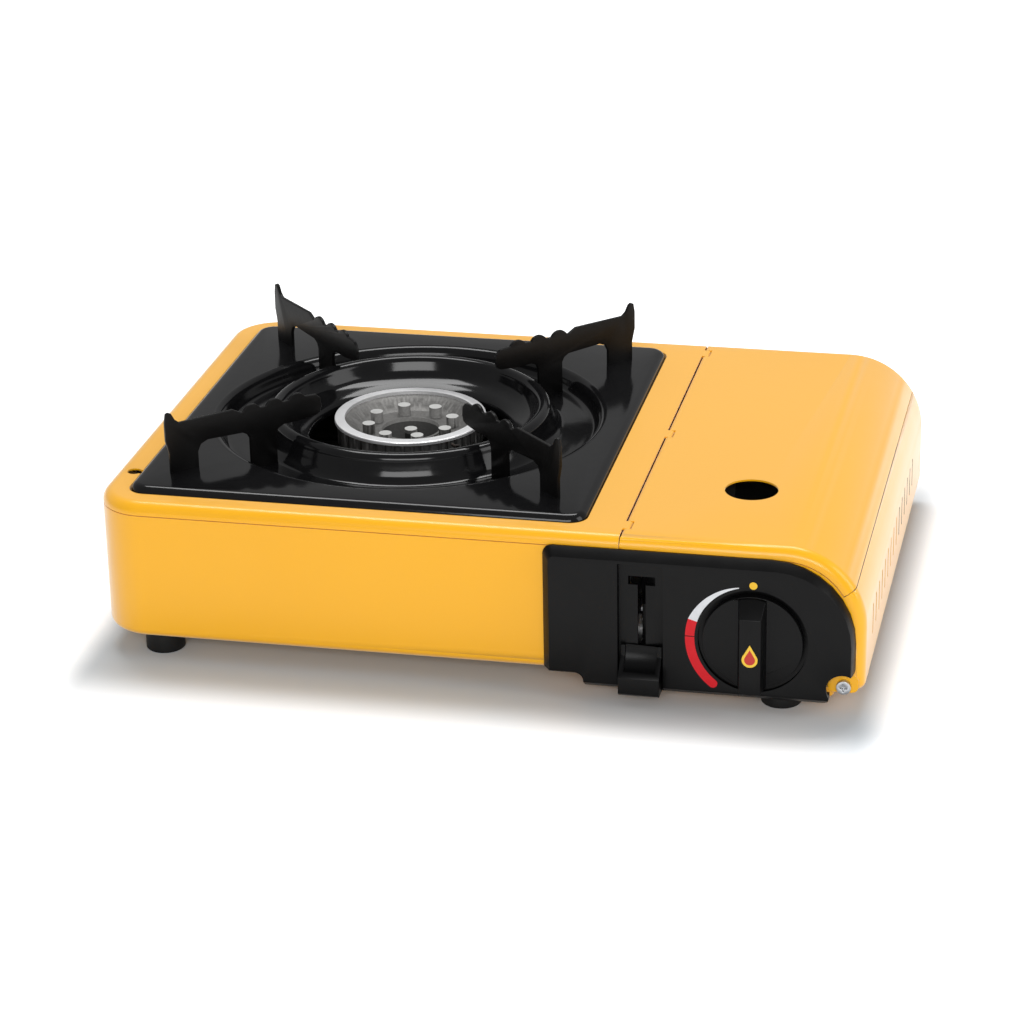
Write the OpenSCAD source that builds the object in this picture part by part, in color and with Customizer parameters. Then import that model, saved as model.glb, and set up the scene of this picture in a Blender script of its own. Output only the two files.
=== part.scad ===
// Single-burner butane cassette stove: a pressed steel body with a drop-in enamelled
// pan on the left and a cartridge compartment under a hinged lid on the right.
// Workshop axes used inside the modules: x from the left face, y from the front face
// and z from the table. place() moves them to the part's own origin.

/* [Body] */
// Width of the body, left face to right face
body_w = 340; // [330:1:380]
// Depth of the body, front face to back face
body_d = 240; // [238:1:280]
// Height of the top surface above the table
body_h = 75; // [75:0.5:84]
// Height of the flat underside above the table
under_gap = 11; // [10:0.5:14]
// Thickness of the steel sheet
sheet = 0.8; // [0.6:0.1:1]
// Plan radius of the two left corners
corner_r = 22; // [16:1:28]
// Radius that rolls the top surface over into the sides
edge_r = 5; // [4:0.5:6]
// Radius that rolls the walls under into the floor
bottom_r = 4; // [3:0.5:4]
// Radius of the right shoulder, seen from the front
shoulder_r = 35; // [30:1:38]
// Depth of the seam below the top surface
seam_drop = 5.5; // [5:0.5:8]
// Width of a seam between two panels
seam_gap = 0.4; // [0.3:0.1:0.8]
// How far the joggled lip stands in from the outer face
lip_inset = 1.1; // [1.1:0.1:1.5]

/* [Side vents] */
// Number of slits in the right wall
slit_count = 15; // [6:1:18]
// Height of one slit
slit_h = 14; // [8:1:16]
// Width of one slit
slit_w = 2; // [1.5:0.5:3]
// Distance between slits
slit_pitch = 11.8; // [8:0.2:13]
// Number of slots in the back wall
back_slot_count = 9; // [4:1:11]
// Length of one slot in the back wall
back_slot_w = 12; // [8:1:14]
// Distance between the slots in the back wall
back_slot_pitch = 18; // [16:1:20]

/* [Pan] */
// Margin between the left face and the pan opening
opening_left = 12.5; // [11:0.5:16]
// Margin between the front face and the pan opening
opening_front = 11.5; // [10:0.5:16]
// Margin between the back face and the pan opening
opening_back = 14.5; // [12:0.5:20]
// Corner radius of the pan opening
opening_r = 8; // [6:1:12]
// Gap between the pan and its opening
pan_gap = 1.3; // [0.8:0.1:2]
// Height of the pan's flat rim above the body's top
pan_rise = 2; // [1:0.5:4]
// Radius that rolls the pan's rim down
pan_edge_r = 3; // [2:0.5:4]
// Radius of the round well pressed into the pan
well_r = 90; // [88:1:92]
// Depth of the well below the pan's rim
well_depth = 7.5; // [5:0.5:9]
// Height of the wind collar above the pan's rim
collar_rise = 5.2; // [3:0.2:8]
// Radius of the wind collar at its top
collar_r = 63; // [60:0.5:66]
// Radius of the hole in the pan around the burner
pan_hole_r = 47.4; // [44:0.2:49]

/* [Pot supports] */
// Thickness of a pot support blade
blade_t = 1.6; // [1.2:0.2:2]
// Height of the pot above the pan's rim
pot_rise = 24; // [20:1:30]
// Height of the horn above the pot's rest
horn_rise = 5; // [3:0.5:8]
// Radius of the blade's nose from the burner's axis
nose_r = 46.8; // [44:0.2:52]
// Outer radius of the outer leg
outer_leg_r = 124; // [118:1:126]
// Width of a leg
leg_w = 14; // [10:1:15]

/* [Burner] */
// Outer radius of the bright burner ring
ring_r = 35; // [32:0.5:37]
// Inner radius of the burner ring
ring_bore_r = 30.3; // [28:0.5:31]
// Thickness of the burner ring's flange
ring_h = 1.6; // [1.2:0.1:3]
// Number of posts on the burner's dish
post_count = 8; // [6:1:10]
// Radius of the circle of posts
post_circle_r = 19.5; // [18:0.5:20]
// Number of flame ribs around the burner head
rib_count = 48; // [24:4:60]
// Radius of the mixing tube
tube_r = 6.5; // [5.5:0.1:6.5]
// Height of the mixing tube's axis above the table
tube_z = 19.5; // [19.5:0.5:21]

/* [Lid] */
// Distance of the hinge axis from the right face
hinge_from_right = 103.6; // [100:0.2:110]
// Radius of the curl along the lid's hinged edge
knuckle_r = 1.5; // [1.5:0.1:2]
// Radius of the hinge pin
pin_r = 0.8; // [0.7:0.1:1]
// Radial clearance of the hinge pin in the lid
pin_clearance = 0.05; // [0.03:0.01:0.1]
// Number of ears on the top plate that hold the hinge pin
ear_count = 3; // [2:1:5]
// Length of one ear
ear_len = 8; // [6:1:14]
// Angle on the shoulder where the lid ends
lid_end_angle = 31; // [28:1:36]
// Radius of the sight hole in the lid
sight_r = 11.7; // [8:0.1:14]
// Distance of the sight hole from the right face
sight_from_right = 57.7; // [50:0.1:65]
// Distance of the sight hole from the front face
sight_y = 61; // [50:1:90]

/* [Cartridge] */
// Diameter of the gas cartridge that the compartment takes
can_d = 67; // [66:0.5:68]
// Length of the gas cartridge, nozzle included
can_len = 185; // [180:1:186]
// Distance of the cartridge's axis from the right face
can_from_right = 42; // [40:0.5:46]
// Gap between the cartridge and the trough's floor
can_clearance = 0.6; // [0.4:0.1:1]
// Depth of the trough below the flat underside
trough_drop = 5.8; // [4:0.1:6]
// Distance from the front face to the nozzle's tip
nozzle_y = 39; // [39:0.5:40]
// Travel of the pusher that seats the cartridge
pusher_travel = 6; // [4:0.5:6]
// Distance of the trough's left wall from the right face
trough_from_right = 104; // [103:0.5:106]
// Margin between the right face and the trough
trough_right = 14; // [12:0.5:20]

/* [Control panel] */
// Width of the control panel
panel_w = 134; // [130:1:140]
// Distance of the control panel from the right face
panel_right = 4; // [3.5:0.5:6]
// Height of the panel's lower edge above the table
panel_z = 5.7; // [5:0.1:7]
// Height of the panel's upper edge below the body's top
panel_drop = 5; // [4.6:0.2:6]
// Radius of the panel's upper right corner
panel_r = 36; // [30:1:36]
// Depth of the panel in front of the body
panel_depth = 6; // [5:0.5:8]
// Depth of the panel's sloping border
bevel_d = 4.5; // [3:0.5:5]
// Width of the panel's sloping border
bevel_w = 3.2; // [2:0.2:4]
// Width of that border at the panel's right edge
bevel_right = 1.4; // [1:0.2:2]
// Wall thickness of the panel
panel_t = 2; // [1.6:0.2:2.4]
// Width of the lever's channel
channel_w = 19.6; // [18:0.2:22]
// Width of the lever's slot
slot_w = 3.4; // [3.2:0.1:4]
// Length of the slot's cross-bar
slot_bar = 11.6; // [8:0.2:13]

/* [Knob] */
// Distance of the knob's axis from the right face
knob_from_right = 47; // [45:0.5:50]
// Height of the knob's axis above the table
knob_z = 34; // [33:0.5:36]
// Radius of the knob's disc
knob_r = 21.3; // [20:0.1:23]
// Gap around the knob's disc
knob_gap = 2.2; // [1:0.1:2.4]
// Distance of the knob's grip from the body's front face
front_reach = 15; // [13:0.5:20]
// Width of the grip's face
grip_w = 9; // [7:0.5:11]
// Radius of the valve spindle
spindle_r = 3; // [2.5:0.1:3.2]
// Radial clearance of a running fit
fit = 0.06; // [0.03:0.01:0.1]
// Turn of the knob from off to full flame, in degrees
knob_turn = 135; // [120:1:150]
// Travel of the igniter's plunger
plunger_travel = 6; // [4:0.5:6]

/* [Lever] */
// Distance of the lever's axis from the right face
lever_from_right = 95.2; // [94:0.2:98]
// Travel of the lever, from locked to open
lever_travel = 27; // [24:0.5:27]
// Thickness of the lever's steel plate
lever_t = 2.2; // [1.6:0.2:2.4]
// Radius of the pin on the link bar
link_pin_r = 2; // [1.5:0.1:2.2]
// Sliding clearance around the lever and link
slide_gap = 0.3; // [0.2:0.05:0.4]

/* [Feet and screws] */
// Radius of a foot
foot_r = 8.7; // [7:0.1:9.5]
// Distance of the left feet from the left face
foot_left = 25.5; // [24:0.5:40]
// Distance of the right feet from the right face
foot_right = 36.5; // [36:0.5:60]
// Distance of the left feet from the front and back faces
foot_inset = 16; // [16:0.5:30]
// Distance of the right feet from the front and back faces
foot_right_inset = 9.5; // [9.5:0.5:16]
// Radius of the shank of an M4 screw
m4_r = 2; // [2:0.1:2]
// Radius of the head of an M4 screw
m4_head_r = 3.1; // [3:0.1:3.6]

/* [Hidden] */
$fn = 64;
eps = 0.01;

// Levels and lines that several pieces share
seam_z = body_h - seam_drop;
wall_top_z = seam_z - seam_gap;
flat_z = body_h - sheet;
floor_z = under_gap + sheet;
shoulder_x = body_w - shoulder_r;
shoulder_z = body_h - shoulder_r;
// Angle on the shoulder where the side wall ends, one seam below the lid's edge
wall_end_angle = lid_end_angle - seam_gap / (PI * shoulder_r) * 180;
lip_out = lip_inset + sheet;
// The lip's top stays under the rolled edge of the top plate and the lid
lip_top_drop = edge_r - sqrt(pow(edge_r - sheet, 2) - pow(edge_r - lip_inset, 2)) + 0.35;
lip_h = 6;

// Hinge
hinge_x = body_w - hinge_from_right;
hinge_z = body_h - knuckle_r;
plate_end_x = hinge_x - knuckle_r - seam_gap;

// Pan and burner
opening_x1 = hinge_x - 18.4;
opening_y1 = body_d - opening_back;
burner_x = (opening_left + opening_x1) / 2;
burner_y = (opening_front + opening_y1) / 2;
pan_z = body_h + pan_rise;
ledge_z = body_h - 4.4;
ledge_w = 4;
well_z = pan_z - well_depth;
collar_z = pan_z + collar_rise;
pot_z = pan_z + pot_rise;
ring_z = pan_z - ring_h;
ring_round = 0.5;
dish_z = ring_z - 5.7;
dish_r = 23.5;
post_r = 2.9;
base_r = 0.4 * ring_r - 0.5;
burner_hole_r = base_r - 0.1;
base_lip_r = base_r + 1.5;
base_top = tube_z + 23.8;
bracket_half = 34;
bracket_hole = 26;

// Cartridge compartment
can_r = can_d / 2;
can_x = body_w - can_from_right;
trough_z = under_gap - trough_drop;
trough_floor = trough_z + sheet;
can_z = trough_floor + can_clearance + can_r;
can_end_y = nozzle_y + can_len;
trough_x0 = body_w - trough_from_right;
trough_x1 = body_w - trough_right;
trough_y0 = 5;
partition_x = trough_x0 - 5;

// Front controls
panel_x1 = body_w - panel_right;
panel_x0 = panel_x1 - panel_w;
panel_top = body_h - panel_drop;
panel_cx = panel_x1 - panel_r;
panel_cz = panel_top - panel_r;
panel_back_y = -0.3;
knob_x = body_w - knob_from_right;
recess_y = 2 - panel_depth;
drop_r = 3.4;
pointer_y = 0.6 - front_reach;
lever_x = body_w - lever_from_right;
channel_x0 = lever_x - channel_w / 2;
channel_x1 = lever_x + channel_w / 2;
channel_y = -1.7;
channel_top = panel_top - bevel_w - 1.3;
screw_x = body_w - 8.7;
screw_z = 14.1;
tab_r = m4_head_r + 3.7;
// Places and heights of the feet: front left, front right, back left, back right
foot_x1 = body_w - foot_right;
feet = [
    [foot_left, foot_inset, under_gap], [foot_x1, foot_right_inset, trough_z],
    [foot_left, body_d - foot_inset, under_gap], [foot_x1, body_d - foot_right_inset, trough_z]
];

// Lever and link
stem_z0 = panel_z + 15.8;
stem_h = 4;
stem_top = stem_z0 + stem_h + lever_travel;
lever_z0 = trough_floor + 1;
lever_z1 = lever_z0 + lever_travel + 8;
lever_y0 = trough_y0 + sheet + 0.8;
lever_y1 = lever_y0 + 2 * link_pin_r + pusher_travel + 3.4;
link_y = lever_y0 + link_pin_r + 2;
link_z = lever_z1 - 4;
link_x = lever_x + 5.2;
link_t = 2;
link_h = 8;
guide_ys = [60, can_end_y - 24];

// Regulator and igniter
reg_x0 = knob_x - 7;
reg_x1 = knob_x + 23;
reg_y0 = 10;
reg_y1 = nozzle_y - 5;
reg_z0 = 18;
reg_z1 = 56;
jet_y = nozzle_y - 10;
inlet_r = 5;
inlet_y0 = nozzle_y - 8.5;
seal_r = 5.8;
seal_t = 2.5;
cam_y0 = 1.6;
cam_y1 = 3;
cam_r = 17;
cam_path_r = 14;
cam_steps = 9;
plunger_r = 2;
plunger_x = knob_x - cam_path_r;
igniter_y0 = cam_y1 + plunger_travel + 2;
igniter_y1 = reg_y1 + 2;
electrode_r = 41;
arm_z = base_top - 6.5;
arm_t = 1.2;
wire_r = 1;
wire_lap = 0.8;
wire_z = tube_z + 9.5;
electrode_angle = -45;
electrode_x = burner_x + electrode_r * cos(electrode_angle);
electrode_y = burner_y + electrode_r * sin(electrode_angle);

// Colours
yellow = [0.96, 0.69, 0.22];
enamel = [0.05, 0.05, 0.055];
plastic = [0.10, 0.10, 0.10];
zinc = [0.75, 0.76, 0.77];
cast = [0.62, 0.62, 0.61];
bright = [0.88, 0.88, 0.88];
brass = [0.80, 0.65, 0.35];
rubber = [0.06, 0.06, 0.06];
ceramic = [0.93, 0.92, 0.88];

// ---- Helpers -------------------------------------------------------------

// Moves workshop axes to the origin: centre of the plan, on the table
module place() {
    translate([-body_w / 2, -(body_d - front_reach) / 2, 0]) children();
}

// A block between two limits on each axis
module block(x0, x1, y0, y1, z0, z1) {
    translate([x0, y0, z0]) cube([x1 - x0, y1 - y0, z1 - z0]);
}

// Round bars along each axis
module rod_x(x0, x1, y, z, r) {
    translate([x0, y, z]) rotate([0, 90, 0]) cylinder(r = r, h = x1 - x0);
}
module rod_y(y0, y1, x, z, r) {
    translate([x, y1, z]) rotate([90, 0, 0]) cylinder(r = r, h = y1 - y0);
}
module rod_z(z0, z1, x, y, r) {
    translate([x, y, z0]) cylinder(r = r, h = z1 - z0);
}

// Turns a front-view outline (x, z) into a plate between two depths
module front_plate(y0, y1) {
    translate([0, y1, 0]) rotate([90, 0, 0]) linear_extrude(y1 - y0) children();
}

// Turns a side-view outline (y, z) into a bar between two widths
module side_bar(x0, x1) {
    translate([x0, 0, 0]) rotate([90, 0, 90]) linear_extrude(x1 - x0) children();
}

// Repeats a front feature at the back, mirrored
module both_ends() {
    children();
    translate([0, body_d, 0]) mirror([0, 1, 0]) children();
}

// Sweeps a profile (inset, z) around the front left corner
module left_corner(r) {
    translate([r, r, 0]) rotate([0, 0, 180]) rotate_extrude(angle = 90)
        translate([r, 0]) mirror([1, 0]) children();
}

// Sweeps a profile (inset, z) around the front right corner
module right_corner(r) {
    translate([body_w - r, r, 0]) rotate([0, 0, 270]) rotate_extrude(angle = 90)
        translate([r, 0]) mirror([1, 0]) children();
}

// Rectangle with round corners, between two limits on each axis
module round_rect(x0, x1, y0, y1, r) {
    translate([x0 + r, y0]) square([x1 - x0 - 2 * r, y1 - y0]);
    translate([x0, y0 + r]) square([x1 - x0, y1 - y0 - 2 * r]);
    for (x = [x0 + r, x1 - r], y = [y0 + r, y1 - r]) translate([x, y]) circle(r);
}

// Quarter of a thin ring: the quadrant towards -x, and up or down
module quarter_ring(r, t, up) {
    intersection() {
        difference() {
            circle(r);
            circle(r - t);
        }
        translate([-r, up ? 0 : -r]) square(r);
    }
}

// Slice of a disc between two angles, less than a half turn apart
module wedge(r, a0, a1) {
    far = 1.5 * r;
    polygon([[0, 0], [far * cos(a0), far * sin(a0)],
        [far * cos((a0 + a1) / 2), far * sin((a0 + a1) / 2)],
        [far * cos(a1), far * sin(a1)]]);
}

// Thin arc strip of the shoulder, in front view
module shoulder_strip(r1, r0, a0, a1) {
    translate([shoulder_x, shoulder_z]) intersection() {
        difference() {
            circle(r1);
            circle(r0);
        }
        wedge(r1, a0, a1);
    }
}

// Rolled edge along the shoulder at the front, from one angle to another
module shoulder_edge(start, end) {
    translate([shoulder_x, 0, shoulder_z]) rotate([90, 0, 0]) rotate([0, 0, start])
        rotate_extrude(angle = end - start)
            translate([shoulder_r - edge_r, -edge_r]) mirror([1, 0])
                quarter_ring(edge_r, sheet, true);
}

// Machine screw along +y with its head's face at y = 0 and a cross recess
module screw_y(len) {
    difference() {
        union() {
            rod_y(0, 2.2, 0, 0, m4_head_r);
            rod_y(2.2, len, 0, 0, m4_r);
        }
        block(-1.7, 1.7, -eps, 1.2, -0.4, 0.4);
        block(-0.4, 0.4, -eps, 1.2, -1.7, 1.7);
    }
}

// Rolled top edge with its short skirt, as (inset, z)
module rim_profile() {
    translate([edge_r, body_h - edge_r]) quarter_ring(edge_r, sheet, true);
    translate([0, seam_z]) square([sheet, seam_drop - edge_r]);
}

// Side wall with its rolled bottom edge, as (inset, z), up to a given height
module wall_profile(top_z) {
    translate([bottom_r, under_gap + bottom_r]) quarter_ring(bottom_r, sheet, false);
    translate([0, under_gap + bottom_r]) square([sheet, top_z - under_gap - bottom_r]);
}

// Joggled lip behind the seam, as (inset, z)
module lip_profile() {
    lip_top = body_h - lip_top_drop;
    translate([sheet, wall_top_z - lip_h])
        square([lip_out - sheet, lip_h - seam_gap]);
    translate([lip_inset, wall_top_z - lip_h])
        square([sheet, lip_top - wall_top_z + lip_h]);
}

// ---- Body ----------------------------------------------------------------

// Front wall without its rolled borders, in front view
module front_wall_outline() {
    flat_r = shoulder_r - seam_drop - seam_gap;
    translate([corner_r, under_gap + bottom_r])
        square([shoulder_x - corner_r, wall_top_z - under_gap - bottom_r]);
    translate([corner_r, under_gap + bottom_r])
        square([body_w - edge_r - corner_r, shoulder_z - under_gap - bottom_r]);
    translate([shoulder_x, shoulder_z]) {
        intersection() {
            circle(flat_r);
            wedge(flat_r, 0, 90);
        }
        intersection() {
            circle(shoulder_r - edge_r);
            wedge(shoulder_r, 0, wall_end_angle);
        }
    }
}

// Strip that the front lip covers, in front view
module front_lip_outline(out_drop, in_drop) {
    translate([corner_r, body_h - in_drop])
        square([shoulder_x - corner_r, in_drop - out_drop]);
    shoulder_strip(shoulder_r - out_drop, shoulder_r - in_drop, 0, 90);
}

// Floor of the trough under the cartridge, with its four walls
module trough() {
    difference() {
        translate([0, 0, trough_z]) linear_extrude(floor_z - trough_z)
            round_rect(trough_x0, trough_x1, trough_y0, body_d - trough_y0, edge_r);
        translate([0, 0, trough_floor]) linear_extrude(floor_z)
            round_rect(trough_x0 + sheet, trough_x1 - sheet, trough_y0 + sheet,
                body_d - trough_y0 - sheet, edge_r - sheet);
    }
}

module lower_body() {
    lip_bottom_drop = seam_drop + seam_gap + lip_h;
    slit_top = shoulder_z + 0.5;
    first_slit = (body_d - (slit_count - 1) * slit_pitch) / 2 - 10;
    first_slot = burner_x - (back_slot_count - 1) * back_slot_pitch / 2;
    color(yellow) place() difference() {
        union() {
            both_ends() {
                side_bar(corner_r, body_w - edge_r)
                    translate([bottom_r, under_gap + bottom_r])
                        quarter_ring(bottom_r, sheet, false);
                left_corner(corner_r) wall_profile(wall_top_z);
                left_corner(corner_r) lip_profile();
                right_corner(edge_r) wall_profile(shoulder_z);
                front_plate(0, sheet) front_wall_outline();
                front_plate(sheet, lip_out)
                    front_lip_outline(seam_drop + 2 * seam_gap, lip_bottom_drop);
                front_plate(lip_inset, lip_out)
                    front_lip_outline(lip_top_drop, lip_bottom_drop);
            }
            front_plate(corner_r, body_d - corner_r) {
                wall_profile(wall_top_z);
                lip_profile();
            }
            front_plate(edge_r, body_d - edge_r) {
                translate([body_w, 0]) mirror([1, 0]) wall_profile(shoulder_z);
            }
            difference() {
                union() {
                    both_ends() shoulder_edge(0, wall_end_angle + 5);
                    front_plate(edge_r, body_d - edge_r)
                        shoulder_strip(shoulder_r, shoulder_r - sheet, 0, wall_end_angle + 5);
                }
                front_plate(-1, body_d + 1) translate([shoulder_x, shoulder_z])
                    wedge(2 * shoulder_r, wall_end_angle, 80);
            }
            front_plate(edge_r + 1, body_d - edge_r - 1) {
                shoulder_strip(shoulder_r - sheet / 2, shoulder_r - lip_out,
                    wall_end_angle - 6, wall_end_angle - 1);
                shoulder_strip(shoulder_r - lip_inset, shoulder_r - lip_out,
                    wall_end_angle - 3, lid_end_angle + 4);
            }
            translate([0, 0, under_gap]) linear_extrude(sheet) {
                round_rect(bottom_r, body_w / 2, bottom_r, body_d - bottom_r,
                    corner_r - bottom_r);
                round_rect(body_w / 3, body_w - bottom_r, bottom_r, body_d - bottom_r,
                    edge_r - bottom_r);
            }
            trough();
            corner_tab();
        }
        translate([0, 0, trough_floor]) linear_extrude(floor_z)
            round_rect(trough_x0 + sheet, trough_x1 - sheet, trough_y0 + sheet,
                body_d - trough_y0 - sheet, edge_r - sheet);
        // Openings in the front wall for the lever's stem and the knob's hub
        block(lever_x - 3.2, lever_x + 3.2, -1, lip_out + 1, stem_z0 - 2, stem_top + 2);
        block(lever_x - slot_bar / 2 - 0.8, lever_x + slot_bar / 2 + 0.8, -1, lip_out + 1,
            stem_top + 1, stem_top + 7);
        rod_y(-1, lip_out + 1, knob_x, knob_z, spindle_r + 3.8);
        rod_y(-2, 4, screw_x, screw_z, m4_r + fit);
        // Screw holes of the burner bracket and the feet
        for (s = [-1, 1])
            rod_z(under_gap - 1, floor_z + 1, burner_x + s * bracket_hole, burner_y,
                m4_r + fit);
        for (f = feet) rod_z(trough_z - 1, floor_z + 1, f[0], f[1], m4_r + fit);
        for (i = [0 : slit_count - 1])
            translate([body_w - 2, first_slit + i * slit_pitch - slit_w / 2,
                slit_top - slit_h]) cube([3, slit_w, slit_h]);
        for (i = [0 : back_slot_count - 1])
            translate([first_slot + i * back_slot_pitch - back_slot_w / 2,
                body_d - 2, seam_z - 28]) cube([back_slot_w, 3, 3]);
    }
}

// Flat tab at the front right corner that takes the corner screw
module corner_tab() {
    front_plate(-0.9, sheet / 2) intersection() {
        round_rect(screw_x - 7, screw_x + 6.2, under_gap + 0.2, screw_z + 7, 3);
        translate([screw_x, screw_z]) circle(tab_r);
    }
}

// Front end of hinge ear number i, counted from the front
ear_pitch = (body_d - 4 * edge_r - ear_len) / (ear_count - 1);
function ear_y(i) = 2 * edge_r + i * ear_pitch;

// Stretch of the lid's curl in front of ear number i
function curl_y0(i) = i == 0 ? edge_r : ear_y(i - 1) + ear_len + 0.2;
function curl_y1(i) = i == ear_count ? body_d - edge_r : ear_y(i) - 0.2;

module pan_opening(inset) {
    round_rect(opening_left + inset, opening_x1 - inset, opening_front + inset,
        opening_y1 - inset, opening_r - inset);
}

module top_plate() {
    notch_y = opening_front + 24.4;
    color(yellow) place() difference() {
        union() {
            both_ends() {
                side_bar(corner_r, plate_end_x) rim_profile();
                left_corner(corner_r) rim_profile();
            }
            front_plate(corner_r, body_d - corner_r) rim_profile();
            translate([0, 0, flat_z]) linear_extrude(sheet) {
                round_rect(edge_r, body_w / 2, edge_r, body_d - edge_r, corner_r - edge_r);
                translate([body_w / 3, edge_r])
                    square([plate_end_x - body_w / 3, body_d - 2 * edge_r]);
            }
            translate([0, 0, ledge_z]) linear_extrude(flat_z - ledge_z)
                pan_opening(-sheet);
            for (i = [0 : ear_count - 1]) {
                rod_y(ear_y(i), ear_y(i) + ear_len, hinge_x, hinge_z, knuckle_r);
                block(plate_end_x - 1, hinge_x, ear_y(i), ear_y(i) + ear_len, flat_z, body_h);
            }
        }
        translate([0, 0, ledge_z + sheet]) linear_extrude(10) pan_opening(0);
        translate([0, 0, ledge_z - 1]) linear_extrude(10) pan_opening(ledge_w);
        // Finger notch in the opening's left edge
        rod_z(ledge_z + sheet, body_h + 1, opening_left - 3.4, notch_y, 3.2);
        block(opening_left - 3.4, opening_left + 1, notch_y - 2, notch_y + 2,
            ledge_z + sheet, body_h + 1);
        rod_y(edge_r, body_d - edge_r, hinge_x, hinge_z, pin_r);
    }
}

module hinge_pin() {
    color(zinc) place() rod_y(2 * edge_r - 2, body_d - 2 * edge_r + 2, hinge_x, hinge_z, pin_r);
}

module partition() {
    color(zinc) place() {
        block(partition_x, partition_x + sheet, nozzle_y + 7, body_d - 4, floor_z, flat_z);
        block(partition_x - 8, partition_x, nozzle_y + 7, body_d - 4, floor_z,
            floor_z + sheet);
    }
}

// ---- Lid -----------------------------------------------------------------

// What the hinge lets the lid's front border keep, in front view
module lid_border_outline() {
    round_r = 3.4;
    translate([hinge_x, 0]) square([body_w, 2 * body_h]);
    translate([hinge_x, hinge_z]) {
        intersection() {
            circle(round_r);
            translate([-knuckle_r, -round_r]) square([knuckle_r + eps, round_r]);
        }
        intersection() {
            circle(knuckle_r);
            translate([-knuckle_r, 0]) square(knuckle_r + eps);
        }
    }
}

module lid() {
    border_x = hinge_x - knuckle_r;
    sheet_x = hinge_x + knuckle_r + seam_gap;
    color(yellow) place() difference() {
        union() {
            both_ends() {
                intersection() {
                    side_bar(border_x, border_x + edge_r) rim_profile();
                    front_plate(-1, edge_r + 1) lid_border_outline();
                }
                side_bar(border_x + edge_r, shoulder_x) rim_profile();
                shoulder_edge(90, lid_end_angle - 5);
                front_plate(0, sheet) shoulder_strip(shoulder_r - edge_r,
                    shoulder_r - seam_drop, lid_end_angle - 5, 90);
            }
            block(sheet_x, shoulder_x, edge_r, body_d - edge_r, flat_z, body_h);
            front_plate(edge_r, body_d - edge_r)
                shoulder_strip(shoulder_r, shoulder_r - sheet, lid_end_angle - 5, 90);
            for (i = [0 : ear_count]) {
                rod_y(curl_y0(i), curl_y1(i), hinge_x, hinge_z, knuckle_r);
                block(hinge_x, sheet_x + eps, curl_y0(i), curl_y1(i), flat_z, body_h);
            }
        }
        front_plate(-1, body_d + 1) translate([shoulder_x, shoulder_z])
            wedge(2 * shoulder_r, lid_end_angle - 30, lid_end_angle);
        rod_z(flat_z - 1, body_h + 1, body_w - sight_from_right, sight_y, sight_r);
        rod_y(2 * edge_r - 3, body_d - 2 * edge_r + 3, hinge_x, hinge_z,
            pin_r + pin_clearance);
    }
}

// ---- Pan and pot supports ------------------------------------------------

// Points of the pan's pressed shape (radius, height), from the rim to the hole
pan_line = [
    [well_r + 1.6, pan_z], [well_r, pan_z - 0.3], [well_r - 1.2, pan_z - 1.2],
    [well_r - 3.4, well_z + 1.8], [well_r - 4.4, well_z + 0.6], [well_r - 6, well_z],
    [collar_r + 7.5, well_z], [collar_r + 4.9, well_z + 0.7], [collar_r + 3.5, well_z + 2.6],
    [collar_r + 1.5, collar_z - 2.8], [collar_r + 0.8, collar_z - 1],
    [collar_r - 0.5, collar_z], [collar_r - 2.1, collar_z], [collar_r - 3.3, collar_z - 1],
    [collar_r - 3.9, collar_z - 2.6], [collar_r - 6.1, pan_z - 2], [collar_r - 7.5, pan_z - 3.3],
    [pan_hole_r + 1.4, well_z + 0.8], [pan_hole_r + 0.3, well_z - 0.4],
    [pan_hole_r, well_z - 2.6]
];

// Unit normal on the lower side of point i of a line
function side_normal(line, i) =
    let (a = line[max(i - 1, 0)], b = line[min(i + 1, len(line) - 1)],
        d = (b - a) / norm(b - a)) [-d[1], d[0]];

module pan_rim_profile() {
    lip_z = ledge_z + sheet + seam_gap;
    translate([pan_edge_r, pan_z - pan_edge_r]) quarter_ring(pan_edge_r, sheet, true);
    translate([0, lip_z]) square([sheet, pan_z - pan_edge_r - lip_z]);
}

// Places a pot support's outline (radius, height) on a diagonal of the pan
module on_diagonal(angle) {
    translate([burner_x, burner_y, 0]) rotate([90, 0, angle])
        translate([0, 0, -blade_t / 2]) linear_extrude(blade_t) children();
}

// Slots that the tabs of one pot support pass through
module blade_slots(angle) {
    translate([burner_x, burner_y, 0]) rotate([0, 0, angle])
        block(outer_leg_r - leg_w + 3, outer_leg_r - 3, -blade_t / 2 - 0.1,
            blade_t / 2 + 0.1, pan_z - 3, pan_z + 1);
}

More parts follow.
